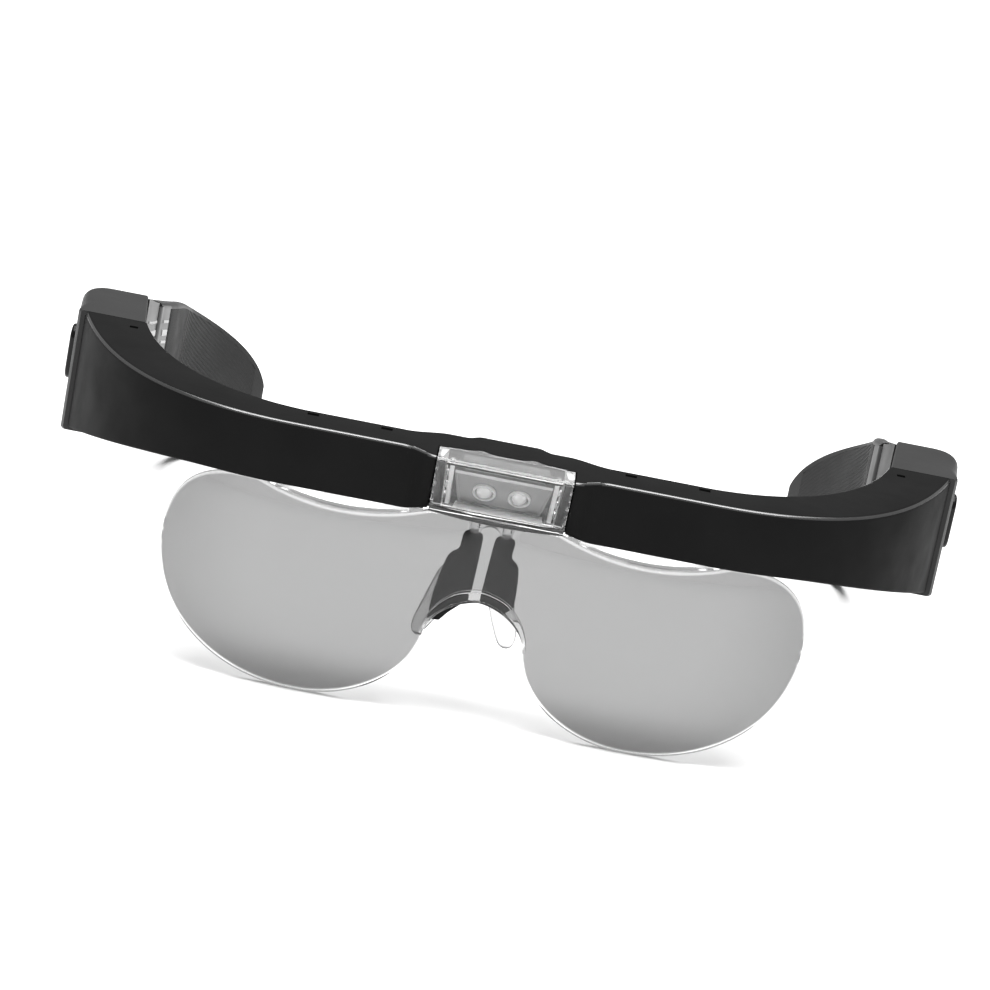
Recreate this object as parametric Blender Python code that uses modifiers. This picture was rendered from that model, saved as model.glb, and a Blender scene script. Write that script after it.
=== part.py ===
"""Head visor magnifier: a curved brow bar with a lamp, a clip-in two-lobed lens, nose pads and folding arms.

Shapes are worked out in millimetres in the bar's own frame: x to the right, y towards the wearer,
z up, with z = 0 on the bar's flat top. place() turns that into metres with the origin on the floor,
under the middle of the part.
"""
import math

import bmesh
import bpy
from mathutils import Matrix, Vector

MM = 0.001
TOP_HEIGHT = 52.4
MID_DEPTH = 70.8
GAP = 0.3

# Brow bar
WALL = 1.5
COVER_THICK = 1.4
BAR_DEEP = 11.9
TOP_ROUND = 1.0
LOW_ROUND = 0.6
BAR_FRONT = -2.5
BAR_REAR = 7.0
BROW_BULGE = 3.4
BULGE_START = 12.6
BULGE_END = 19.2
BRIDGE_REAR = 11.4
SHOULDER_REAR = 9.5
FRONT_CURVE = [(38.0, -2.5), (66.0, -2.8), (78.0, 18.5), (84.8, 44.5)]
REAR_CURVE = [(38.0, 7.0), (56.0, 8.5), (68.0, 24.0), (72.6, 44.5)]
UNDERSIDE_SLOPE = 0.131
UNDERSIDE_SOFT = 3.0
SEAM_Y = 44.5
SLOT_SPOTS = [(22.7, 4.7, 2.1), (36.4, 4.8, 2.1), (74.7, 39.8, 1.6)]
SLOT_DEEP = 1.4

# Lamp
NOTCH_HALF = 12.8
WINDOW_HALF = 12.5
WINDOW_FRONT = -7.0
WINDOW_WALL = 1.1
WINDOW_FOOT = 1.2
LAMP_LEAN = math.radians(30.2)
LAMP_CENTRE = Vector((0.0, 0.4, -6.5))
REFLECTOR_SIZE = (18.0, 0.8, 8.0)
LED_RADIUS = 1.5
LED_SPREAD = 3.3

# Lens
LENS_TOP = -12.6
LENS_EDGE_Y = 2.5
LENS_BULGE = 4.5
TOP_DIP = 2.6
DIP_X = 28.0
DIP_HALF = 16.0
SHELF_Y = (1.2, 6.8)
LENS_EDGE = 1.6
LOBE_X = 31.0
LOBE_WIDE = 60.0
LOBE_MID_Z = -26.8
INNER_MID_Z = -34.0
ARCH_HALF = 9.3
ARCH_FOOT = -37.2
ARCH_RISE = 8.4
HOOKS = [(22.7, 4.7), (36.4, 4.7)]

# Nose pads
BRACKET_X = -0.5
PRONG = Vector((3.0, 6.4, 0.0))
PAD_SPLAY = 0.055
PAD_TOP = -17.0
PRONG_RADIUS = 0.9

# End blocks and arms
BLOCK_OUTER = 86.2
BLOCK_REAR = 65.0
BLOCK_FLARE = 1.8
BLOCK_CORNER = 2.0
LUG_THICK = 3.8
LUG_INSET = 0.5
PIN = Vector((74.95, 76.0, 0.0))
PIN_RADIUS = 0.7
BARREL = 1.9
ARM_INNER = [(74.3, 64.0), (67.8, 110.0), (88.4, 122.0), (63.3, 148.6)]
ARM_START = BLOCK_REAR + GAP
ARM_END = 148.6
ARM_TOP = [(0.0, 64.0), (-7.2, 77.5), (-13.0, 142.8), (-36.4, 148.6)]
ARM_LOW_START = -27.5
ARM_LOW_SLOPE = 0.38
TIP_LENGTH = 15.0
TIP_TALL = 8.0
LEFT_ARM_TURN = math.radians(6.8)
BUTTON_SPOT = (54.0, -11.0)
BUTTON_TALL = 11.0
BUTTON_WIDE = 5.0
BUTTON_PROUD = 1.0
BUTTON_DEEP = 2.8
POCKET_DEEP = 6.5

BLACK = (0.012, 0.012, 0.013, 1)
MATERIALS = {
    "bar_black": (BLACK, 0.42, 0.0, 0.0),
    "arm_black": ((0.02, 0.02, 0.021, 1), 0.5, 0.0, 0.0),
    "grip_black": ((0.03, 0.03, 0.031, 1), 0.75, 0.0, 0.0),
    "gloss_black": ((0.005, 0.005, 0.005, 1), 0.12, 0.0, 0.0),
    "clear_plastic": ((0.95, 0.96, 0.96, 1), 0.04, 0.0, 0.9),
    "lens_clear": ((0.93, 0.95, 0.95, 1), 0.02, 0.0, 0.95),
    "silicone": ((0.85, 0.86, 0.86, 1), 0.35, 0.0, 0.6),
    "reflector_grey": ((0.18, 0.18, 0.18, 1), 0.35, 0.0, 0.0),
    "board_dark": ((0.012, 0.018, 0.014, 1), 0.4, 0.0, 0.0),
    "cell_silver": ((0.55, 0.56, 0.58, 1), 0.3, 0.6, 0.0),
    "steel": ((0.6, 0.6, 0.62, 1), 0.25, 1.0, 0.0),
}


# ---------------------------------------------------------------- helpers

def clear_scene():
    for item in list(bpy.data.objects):
        bpy.data.objects.remove(item, do_unlink=True)


def make_collection(name):
    group = bpy.data.collections.new(name)
    bpy.context.scene.collection.children.link(group)
    return group


def make_material(name):
    colour, rough, metal, clear = MATERIALS[name]
    material = bpy.data.materials.new(name)
    material.use_nodes = True
    shader = material.node_tree.nodes["Principled BSDF"]
    shader.inputs["Base Color"].default_value = colour
    shader.inputs["Roughness"].default_value = rough
    shader.inputs["Metallic"].default_value = metal
    shader.inputs["Transmission Weight"].default_value = clear
    material.diffuse_color = colour
    return material


def place(point):
    """Bar-frame millimetres to metres with the origin on the floor."""
    return Vector((point[0] * MM, (point[1] - MID_DEPTH) * MM, (point[2] + TOP_HEIGHT) * MM))


def finish(name, shape, material=None):
    """Turn a bmesh in bar-frame millimetres into an object; without a material it is a cutter."""
    for vert in shape.verts:
        vert.co = place(vert.co)
    bmesh.ops.recalc_face_normals(shape, faces=shape.faces)
    mesh = bpy.data.meshes.new(name)
    shape.to_mesh(mesh)
    shape.free()
    item = bpy.data.objects.new(name, mesh)
    if material:
        PARTS.objects.link(item)
        mesh.materials.append(PALETTE[material])
        mesh.shade_smooth()
        mesh.set_sharp_from_angle(angle=math.radians(30))
    else:
        CUTTERS.objects.link(item)
        item.hide_render = True
        item.display_type = "WIRE"
    return item


def loft(name, rings, material=None):
    """Skin a row of closed rings, all with the same number of points, and cap both ends."""
    shape = bmesh.new()
    rows = [[shape.verts.new(point) for point in ring] for ring in rings]
    count = len(rows[0])
    for before, after in zip(rows, rows[1:]):
        for i in range(count):
            j = (i + 1) % count
            shape.faces.new((before[i], before[j], after[j], after[i]))
    shape.faces.new(rows[0])
    shape.faces.new(list(reversed(rows[-1])))
    return finish(name, shape, material)


def box(name, low, high, material=None):
    """A box from its two opposite corners."""
    low = Vector(low)
    high = Vector(high)
    size = Matrix.Diagonal((*(high - low), 1))
    shape = bmesh.new()
    bmesh.ops.create_cube(shape, size=1, matrix=Matrix.Translation((low + high) / 2) @ size)
    return finish(name, shape, material)


def turned_box(name, centre, turn, low, high, material=None):
    """A box whose corners low and high are measured from centre along turned axes."""
    low = Vector(low)
    high = Vector(high)
    size = Matrix.Diagonal((*(high - low), 1))
    inside = Matrix.Translation((low + high) / 2) @ size
    shape = bmesh.new()
    bmesh.ops.create_cube(shape, size=1, matrix=Matrix.Translation(centre) @ turn.to_4x4() @ inside)
    return finish(name, shape, material)


def cylinder(name, start, end, radius, material=None, sides=20):
    start = Vector(start)
    end = Vector(end)
    way = end - start
    spin = way.to_track_quat("Z", "Y").to_matrix().to_4x4()
    shape = bmesh.new()
    bmesh.ops.create_cone(shape, cap_ends=True, segments=sides, radius1=radius, radius2=radius,
                          depth=way.length, matrix=Matrix.Translation((start + end) / 2) @ spin)
    return finish(name, shape, material)


def plate(name, outline, thickness, spot, turn, material=None):
    """A flat outline filled and extruded as a 2D curve, then turned and moved to spot."""
    curve = bpy.data.curves.new(name, "CURVE")
    curve.dimensions = "2D"
    curve.fill_mode = "BOTH"
    curve.extrude = thickness / 2
    line = curve.splines.new("POLY")
    line.points.add(len(outline) - 1)
    for point, (u, v) in zip(line.points, outline):
        point.co = (u, v, 0, 1)
    line.use_cyclic_u = True
    holder = bpy.data.objects.new(name, curve)
    CUTTERS.objects.link(holder)
    bpy.context.view_layer.update()
    mesh = bpy.data.meshes.new_from_object(holder.evaluated_get(bpy.context.evaluated_depsgraph_get()))
    shape = bmesh.new()
    shape.from_mesh(mesh)
    bpy.data.objects.remove(holder, do_unlink=True)
    bpy.data.meshes.remove(mesh)
    bmesh.ops.remove_doubles(shape, verts=shape.verts, dist=0.001)
    bmesh.ops.transform(shape, verts=shape.verts, matrix=Matrix.Translation(spot) @ turn.to_4x4())
    return finish(name, shape, material)


def boolean(item, other, operation):
    modifier = item.modifiers.new(other.name, "BOOLEAN")
    modifier.operation = operation
    modifier.solver = "EXACT"
    modifier.object = other


def cut(item, *others):
    for other in others:
        boolean(item, other, "DIFFERENCE")


def join(item, *others):
    for other in others:
        boolean(item, other, "UNION")


def pivot(name, point):
    """An empty on a joint's axis."""
    empty = bpy.data.objects.new(name, None)
    empty.location = place(point)
    PARTS.objects.link(empty)
    return empty


def hang(empty, *items):
    """Parent pieces to the empty and leave them where they are."""
    for item in items:
        item.parent = empty
        item.matrix_parent_inverse = Matrix.Translation(empty.location).inverted()


def bezier(points, t):
    a, b, c, d = (Vector(point) for point in points)
    s = 1 - t
    return a * s**3 + b * 3 * s * s * t + c * 3 * s * t * t + d * t**3


def ease(value, start, end):
    """0 before start, 1 after end, smooth between."""
    u = min(max((value - start) / (end - start), 0.0), 1.0)
    return u * u * (3 - 2 * u)


def arc(centre, radius, start, end, steps):
    """Points round an arc, angles in degrees."""
    angles = [math.radians(start + (end - start) * i / steps) for i in range(steps + 1)]
    return [(centre[0] + radius * math.cos(a), centre[1] + radius * math.sin(a)) for a in angles]


def obround(width, height, steps=6):
    """A slot with round ends, taller than it is wide."""
    r = width / 2
    rise = height / 2 - r
    return arc((0, rise), r, 0, 180, steps) + arc((0, -rise), r, 180, 360, steps)


# ---------------------------------------------------------------- brow bar

def bar_front(x):
    return BAR_FRONT - BROW_BULGE * (1 - ease(abs(x), BULGE_START, BULGE_END))


def bar_rear(x):
    away = abs(x)
    bridge = (BRIDGE_REAR - SHOULDER_REAR) * (1 - ease(away, 5.2, 8.0))
    shoulder = (SHOULDER_REAR - BAR_REAR) * (1 - ease(away, 11.0, 19.0))
    return BAR_REAR + bridge + shoulder


def underside(front_y):
    """Height of the bar's underside: level at the brow, then sloping down towards the ends."""
    return -BAR_DEEP - UNDERSIDE_SLOPE * (front_y + math.hypot(front_y, UNDERSIDE_SOFT))


def bar_stations():
    """Front point, rear point and forward lean of the bar's cross-sections, from left to right."""
    middle = [0, 5.2, 6.1, 7.0, 8.0, 11.0, 12.6, 14.0, 15.3, 16.6, 18.0, 19.2, 28.0]
    outer = [i / 14 for i in range(15)]
    half = []
    for x in middle:
        lean = -bar_front(x) * (1 - ease(x, BULGE_START, BULGE_END))
        half.append((Vector((x, bar_front(x))), Vector((x, bar_rear(x))), lean))
    for t in outer:
        half.append((bezier(FRONT_CURVE, t), bezier(REAR_CURVE, t), 0.0))
    mirrored = [(Vector((-f.x, f.y)), Vector((-r.x, r.y)), lean) for f, r, lean in reversed(half[1:])]
    return mirrored + half


def bar_ring(front, rear, lean, profile):
    """Carry a profile of (distance behind the front, height) points to one station."""
    way = (rear - front).normalized()
    return [(front.x + way.x * d, front.y + way.y * d, z) for d, z in profile]


def shell_profile(front, rear, lean):
    """The C-shaped wall of the bar, open at the rear."""
    deep = (rear - front).length
    low = underside(front.y)
    top = arc((TOP_ROUND, -TOP_ROUND), TOP_ROUND, 90, 180, 3)
    foot = arc((lean + LOW_ROUND, low + LOW_ROUND), LOW_ROUND, 180, 270, 2)
    inner = [(deep, low + WALL), (lean + WALL, low + WALL), (WALL, -WALL), (deep, -WALL)]
    return [(deep, 0.0)] + top + foot + [(deep, low)] + inner


def cover_profile(front, rear, lean):
    deep = (rear - front).length
    low = underside(front.y) + WALL + GAP
    high = -WALL - GAP
    return [(deep, high), (deep - COVER_THICK, high), (deep - COVER_THICK, low), (deep, low)]


def bar_loft(name, profile, material):
    rings = [bar_ring(f, r, lean, profile(f, r, lean)) for f, r, lean in bar_stations()]
    return loft(name, rings, material)


def station_frame(t, side):
    """Middle point and turn of the bar at one station of its curved end."""
    front = bezier(FRONT_CURVE, t)
    rear = bezier(REAR_CURVE, t)
    middle = (front + rear) / 2
    along = math.atan2(front.x - rear.x, rear.y - front.y)
    turn = Matrix.Rotation(side * along, 3, "Z")
    return Vector((side * middle.x, middle.y, 0)), turn, underside(front.y)


def window_edge(margin=0.0):
    """The wavy rear edge of the window's top, over a straight front edge."""
    wave = [(-12.5, 0.2), (-8.0, 1.4), (-4.9, 2.3), (-3.4, 1.4), (0.0, 1.0)]
    wave = [(x, y + margin) for x, y in wave]
    wave[0] = (wave[0][0] - margin, wave[0][1])
    right = [(-x, y) for x, y in reversed(wave[:-1])]
    return wave + right + [(WINDOW_HALF + margin, -5.0), (-WINDOW_HALF - margin, -5.0)]


def make_front_frame():
    frame = bar_loft("front_frame", shell_profile, "bar_black")
    notch = box("lamp_notch", (-NOTCH_HALF, -9.0, -14.0), (NOTCH_HALF, WINDOW_FOOT + GAP - 1.0, 1.0))
    foot = box("lamp_foot_notch", (-NOTCH_HALF, -9.0, -14.0), (NOTCH_HALF, WINDOW_FOOT + GAP, -3.0))
    wavy = plate("lamp_wavy_notch", window_edge(GAP), 4.0, Vector((0, 0, -0.5)), Matrix.Identity(3))
    cut(frame, notch, foot, wavy)
    for side in (-1, 1):
        for number, (x, y, wide) in enumerate(SLOT_SPOTS):
            half = wide / 2
            spot = box(f"snap_slot_{side}_{number}", (side * x - half, y - SLOT_DEEP / 2, -2.5),
                       (side * x + half, y + SLOT_DEEP / 2, 1.0))
            cut(frame, spot)
        for number, (x, y) in enumerate(HOOKS):
            spot = box(f"hook_slot_{side}_{number}", (side * x - 1.5, y - 0.95, -13.5),
                       (side * x + 1.5, y + 0.95, -9.5))
            cut(frame, spot)
        middle, turn, low = station_frame(0.48, side)
        long = 8.0 if side > 0 else 6.4
        port = turned_box(f"underside_port_{side}", middle, turn, (-long / 2, -1.6, low - 2),
                          (long / 2, 1.6, low + 3))
        cut(frame, port)
    tenon = box("bracket_slot", (-3.3, 5.2, -14.0), (3.3, 7.6, -9.0))
    cut(frame, tenon)
    return frame


def make_rear_cover():
    cover = bar_loft("rear_cover", cover_profile, "bar_black")
    for side in (-1, 1):
        for number, (x, y, wide) in enumerate(SLOT_SPOTS[:2]):
            tab = box(f"cover_tab_{side}_{number}", (side * x - 0.7, y - 0.4, -3.2),
                      (side * x + 0.7, BAR_REAR - 0.7, -WALL - GAP))
            nub = box(f"cover_nub_{side}_{number}", (side * x - 0.7, y - 0.4, -2.4),
                      (side * x + 0.7, y + 0.4, -0.4))
            join(tab, nub)
            join(cover, tab)
    return cover


# ---------------------------------------------------------------- lamp

def lamp_turn():
    """Leans the lamp back so that it faces forward and down."""
    return Matrix.Rotation(LAMP_LEAN, 3, "X")


def window_section(rear):
    """Outline of the window's end wall in the y-z plane."""
    return [(rear, 0.0), (WINDOW_FRONT + 0.6, 0.0), (WINDOW_FRONT, -0.6), (-0.6, -11.6), (-0.2, -12.0),
            (WINDOW_FOOT, -12.0), (WINDOW_FOOT, -10.0)]


def prism_along_x(name, outline, half, material=None, centre_x=0.0):
    rings = [[(centre_x + x, y, z) for y, z in outline] for x in (-half, half)]
    return loft(name, rings, material)


def make_window():
    window = prism_along_x("led_window", window_section(0.2), WINDOW_HALF, "clear_plastic")
    hollow = [(3.0, -WINDOW_WALL), (WINDOW_FRONT + 1.6, -WINDOW_WALL), (0.1, -10.9), (3.0, -10.9)]
    cut(window, prism_along_x("window_hollow", hollow, WINDOW_HALF - 2.0))
    top = plate("window_top", window_edge(), WINDOW_WALL, Vector((0, 0, -WINDOW_WALL / 2)),
                Matrix.Identity(3))
    bow = [(-12.0, 0.0)] + [(12.0 * math.sin(a), -3.0 * math.cos(a))
                            for a in [math.radians(d) for d in range(-75, 76, 15)]] + [(12.0, 0.0)]
    rail = plate("window_rail", bow, 1.4, Vector((0, 0, -11.3)), Matrix.Identity(3))
    join(window, top, rail)
    return window


def turned(name, profile, spot, turn, material, steps=16):
    """A turned piece: profile points (radius, height) run down the outer side, top to bottom."""
    mesh = bpy.data.meshes.new(name)
    points = [(r * MM, 0.0, z * MM) for r, z in profile]
    mesh.from_pydata(points, [(i, i + 1) for i in range(len(points) - 1)], [])
    item = bpy.data.objects.new(name, mesh)
    PARTS.objects.link(item)
    mesh.materials.append(PALETTE[material])
    screw = item.modifiers.new("turn", "SCREW")
    screw.steps = steps
    screw.render_steps = steps
    screw.use_merge_vertices = True
    screw.merge_threshold = 0.00001
    item.matrix_world = Matrix.Translation(place(spot)) @ turn.to_4x4()
    return item


def make_lamp():
    lean = lamp_turn()
    wide, thick, tall = REFLECTOR_SIZE
    half = Vector((wide / 2, thick / 2, tall / 2))
    reflector = turned_box("reflector_panel", LAMP_CENTRE, lean, -half, half, "reflector_grey")
    face = lean @ Vector((0, -1, 0))
    to_face = face.to_track_quat("Z", "Y").to_matrix()
    dome = [(LED_RADIUS * math.sin(a), 1.6 + LED_RADIUS * math.cos(a))
            for a in [math.radians(d) for d in (0, 22, 45, 67, 90)]]
    profile = dome + [(LED_RADIUS, 0.8), (1.9, 0.8), (1.9, 0.0), (0.0, 0.0)]
    for name, x in (("led_left", -LED_SPREAD), ("led_right", LED_SPREAD)):
        centre = LAMP_CENTRE + Vector((x, 0, 0))
        cut(reflector, cylinder(f"{name}_hole", centre - face * 2, centre + face * 2, LED_RADIUS + GAP))
        turned(name, profile, centre - face * 1.6, to_face, "clear_plastic")
    back = LAMP_CENTRE - face * 2.4
    half = Vector((7.5, 0.45, 3.2))
    turned_box("led_board", back, lean, -half, half, "board_dark")


# ---------------------------------------------------------------- electrics in the bar

def make_electrics():
    box("battery_cell", (-41.5, -0.6, -9.9), (-20.5, 3.5, -2.2), "cell_silver")
    middle, turn, low = station_frame(0.48, 1)
    turned_box("usb_socket", middle, turn, (-3.7, -1.3, low + 0.2), (3.7, 1.3, low + 5.4), "steel")
    turned_box("charge_board", middle, turn, (-5.0, -0.5, low + 5.8), (5.0, 0.5, -2.0), "board_dark")
    middle, turn, low = station_frame(0.48, -1)
    turned_box("switch_body", middle, turn, (-4.0, -2.2, low + 2.6), (4.0, 2.2, low + 6.0), "gloss_black")
    slider = turned_box("switch_slider", middle, turn, (-2.7, -1.3, low - 0.9), (0.3, 1.3, low + 2.3),
                        "gloss_black")
    hang(pivot("switch_axis", middle + Vector((0, 0, low))), slider)


# ---------------------------------------------------------------- lens

def lens_top(x):
    """Dips in the middle of each lobe, then rounds down to its outer end."""
    away = abs(x)
    corner = 45.0
    if away <= corner:
        return LENS_TOP - TOP_DIP * max(1 - ((away - DIP_X) / DIP_HALF) ** 2, 0.0)
    u = min((away - corner) / (LOBE_WIDE - corner), 1.0)
    return LOBE_MID_Z + (LENS_TOP - LOBE_MID_Z) * (1 - u**2.5) ** 0.4


def lens_bottom(x):
    """Nose arch, then the lobe's inner and outer quarter, as three elliptical stretches."""
    away = abs(x)
    if away < ARCH_HALF:
        return ARCH_FOOT + ARCH_RISE * math.sqrt(1 - (away / (ARCH_HALF + 0.3)) ** 2)
    if away < LOBE_X:
        u = (LOBE_X - away) / (LOBE_X - ARCH_HALF + 0.1)
        return INNER_MID_Z - (TOP_HEIGHT + INNER_MID_Z) * math.sqrt(max(1 - u * u, 0.0))
    u = min((away - LOBE_X) / (LOBE_WIDE - LOBE_X), 1.0)
    return LOBE_MID_Z - (TOP_HEIGHT + LOBE_MID_Z) * (1 - u**2.1) ** (1 / 2.1)


def lens_swell(x, z):
    """1 in the middle of a lobe and 0 at its rim."""
    r = ((abs(x) - 30.0) / 30.0) ** 2 + ((z + 27.0) / 25.4) ** 2
    return max(1 - r, 0.0)


def lens_front(x, z):
    return LENS_EDGE_Y - LENS_BULGE * lens_swell(x, z) + 0.0015 * max(abs(x) - 30.0, 0.0) ** 2


def lens_ring(x, rows=7):
    top = lens_top(x)
    low = lens_bottom(x)
    if top - low < 2.0:
        middle = (top + low) / 2
        top = middle + 1.0
        low = middle - 1.0
    heights = [top + (low - top) * i / (rows - 1) for i in range(rows)]
    front = [(x, lens_front(x, z), z) for z in heights]
    rear = [(x, lens_front(x, z) + LENS_EDGE + 1.4 * lens_swell(x, z), z) for z in reversed(heights)]
    return front + rear


def make_lens():
    inner = [ARCH_HALF * math.sin(math.radians(a)) for a in (0, 18, 36, 52, 66, 78, 90)]
    quarter = [LOBE_X - (LOBE_X - ARCH_HALF) * math.cos(math.radians(a)) for a in range(12, 91, 13)]
    outer = [LOBE_X + (LOBE_WIDE - LOBE_X) * math.sin(math.radians(a)) for a in range(8, 91, 9)]
    half = sorted(set(inner + quarter + outer + [45.0, LOBE_WIDE]))
    stations = [-x for x in reversed(half[1:])] + half
    lens = loft("lens_panel", [lens_ring(x) for x in stations], "lens_clear")
    for side in (-1, 1):
        shelf = box(f"lens_shelf_{side}", (min(side * 14, side * 46), SHELF_Y[0], LENS_TOP - TOP_DIP - 1.2),
                    (max(side * 14, side * 46), SHELF_Y[1], LENS_TOP - 0.05))
        for number, (x, y) in enumerate(HOOKS):
            post = box(f"lens_hook_{side}_{number}", (side * x - 1.2, y - 0.6, -13.2),
                       (side * x + 1.2, y + 0.6, -8.4))
            join(shelf, post)
        join(lens, shelf)
    hang(pivot("lens_axis", (0, LENS_EDGE_Y, LENS_TOP)), lens)
    return lens


# ---------------------------------------------------------------- nose pads

def make_nose_bracket():
    bracket = box("nose_bracket", (BRACKET_X - 5.1, 4.7, -14.0), (BRACKET_X + 5.1, 8.3, -12.4),
                  "clear_plastic")
    join(bracket, box("bracket_tenon", (-3.0, 5.5, -12.8), (3.0, 7.3, -9.9)))
    for side in (-1, 1):
        top = Vector((BRACKET_X + side * PRONG.x, PRONG.y, -13.0))
        join(bracket, cylinder(f"prong_{side}", top, top - Vector((0, 0, 6.2)), PRONG_RADIUS, sides=14))


def pad_ring(side, z, out, y, wide, thick, steps=14):
    """An oval ring of a nose pad at one height, out being its distance outboard of the prong.

    The left pad is splayed a little outward and the right one a little inward.
    """
    shift = BRACKET_X - PAD_SPLAY * max(PAD_TOP - z, 0.0)
    middle = side * (PRONG.x + out) + shift
    angles = [2 * math.pi * i / steps for i in range(steps)]
    return [(middle + side * wide * math.cos(a), y + thick * math.sin(a), z) for a in angles]


def make_nose_pads():
    blade = [(-16.6, 0.0, 6.4, 1.3, 1.3), (-17.4, 0.1, 6.4, 2.0, 1.7), (-20.2, 0.15, 6.5, 2.05, 1.7),
             (-21.4, 0.75, 6.7, 2.65, 1.5), (-22.6, 1.05, 7.0, 2.95, 1.35), (-26.2, 1.35, 7.8, 3.25, 1.1),
             (-29.4, 1.5, 8.5, 3.4, 1.0), (-31.5, 1.9, 8.9, 3.1, 0.95), (-33.5, 3.1, 9.4, 1.8, 0.85),
             (-35.8, 3.9, 10.0, 0.7, 0.5)]
    cushion = [(-24.5, 1.3, 10.2, 1.4, 0.7), (-26.0, 1.5, 10.6, 2.4, 1.1), (-29.5, 2.1, 11.4, 2.8, 1.2),
               (-33.5, 3.2, 12.2, 2.6, 1.2), (-37.2, 4.4, 12.9, 2.2, 1.1), (-39.4, 4.9, 13.3, 1.5, 0.9),
               (-40.2, 5.0, 13.4, 0.7, 0.6)]
    further_out = {-1: 1.6, 1: 0.0}
    for side, word in ((-1, "left"), (1, "right")):
        prong_x = BRACKET_X + side * PRONG.x
        arm = loft(f"{word}_nose_pad_arm", [pad_ring(side, *row) for row in blade], "grip_black")
        foot = Vector((prong_x, PRONG.y, -19.6))
        socket = cylinder(f"{word}_prong_socket", foot, foot + Vector((0, 0, 6)), PRONG_RADIUS + GAP,
                          sides=14)
        cut(arm, socket)
        rings = [pad_ring(side, z, out + further_out[side], *rest) for z, out, *rest in cushion]
        pad = loft(f"{word}_nose_pad", rings, "silicone")
        hang(pivot(f"{word}_pad_axis", (prong_x, PRONG.y, PAD_TOP)), arm, socket, pad)


# ---------------------------------------------------------------- arms

def across(curve, y):
    """First coordinate of a plan or side curve where it crosses y."""
    low, high = 0.0, 1.0
    for _ in range(30):
        t = (low + high) / 2
        if bezier(curve, t).y < y:
            low = t
        else:
            high = t
    return bezier(curve, low).x


def arm_inner(y):
    """The arm's inner face."""
    return across(ARM_INNER, y)


def arm_thick(y):
    return 3.2 + 5.4 * (1 - ease(y, ARM_START - 6, 100.0))


def tip_curl(y):
    """0 along the arm, growing to 1 at its end like a quarter ellipse."""
    u = min(max((y - ARM_END) / TIP_LENGTH + 1, 0.0), 1.0)
    return 1 - math.sqrt(1 - u * u)


def arm_top(y):
    """Top edge, level with the block's top at the front and dropping steeply at the tip."""
    return min(across(ARM_TOP, y), -0.3)


def arm_low(y):
    """Sloping bottom edge that levels off on the floor, then curls up into the tip."""
    level = ARM_END - TIP_LENGTH
    bend = 2 * (ARM_LOW_START + ARM_LOW_SLOPE * BLOCK_REAR + TOP_HEIGHT) / ARM_LOW_SLOPE - level
    if y < bend:
        return ARM_LOW_START - (y - BLOCK_REAR) * ARM_LOW_SLOPE
    settle = ARM_LOW_SLOPE * max(level - y, 0.0) ** 2 / (2 * (level - bend))
    return -TOP_HEIGHT + settle + (arm_top(ARM_END) - TIP_TALL + TOP_HEIGHT) * tip_curl(y)


def arm_ring(side, y, inner, outer, top, low, soft):
    """A section of the arm across y, with its four corners cut round by soft."""
    soft = min(soft, (top - low) / 2.2, (outer - inner) / 2.2)
    corners = [((outer - soft, top - soft), 0), ((inner + soft, top - soft), 90),
               ((inner + soft, low + soft), 180), ((outer - soft, low + soft), 270)]
    ring = []
    for centre, start in corners:
        ring += arc(centre, soft, start, start + 90, 2)
    return [(side * x, y, z) for x, z in ring]


def arm_stations():
    straight = [ARM_START, 70.0, 76.0, 82.0, 90.0, 98.0, 106.0, 113.0, 119.0, 124.0, 129.0]
    tip = [ARM_END - TIP_LENGTH * (1 - math.sin(math.radians(a))) for a in (0, 16, 32, 48, 62, 74, 84)]
    return straight + tip


def arm_solid(name, side, material=None):
    rings = []
    for y in arm_stations():
        inner = arm_inner(y)
        rings.append(arm_ring(side, y, inner, inner + arm_thick(y), arm_top(y), arm_low(y), 1.2))
    return loft(name, rings, material)


def grip_solid(name, side, margin, material=None):
    """The inner panel: follows the arm's outline, inset from its edges, 1.4 mm deep."""
    rings = []
    front = 79.0 - margin
    back = 142.5 + margin
    steps = 13
    for i in range(steps + 1):
        y = front + (back - front) * i / steps
        inset = 1.6 + 4.0 * ease(y, 134.0, 146.0) - margin
        face = arm_inner(y)
        proud = 1.0 if material is None else -0.3
        rings.append(arm_ring(side, y, face - proud, face + 1.4 + margin, arm_top(y) - inset,
                              arm_low(y) + inset, 0.4))
    return loft(name, rings, material)


def at_pin(side, z):
    return Vector((side * PIN.x, PIN.y, z))


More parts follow.
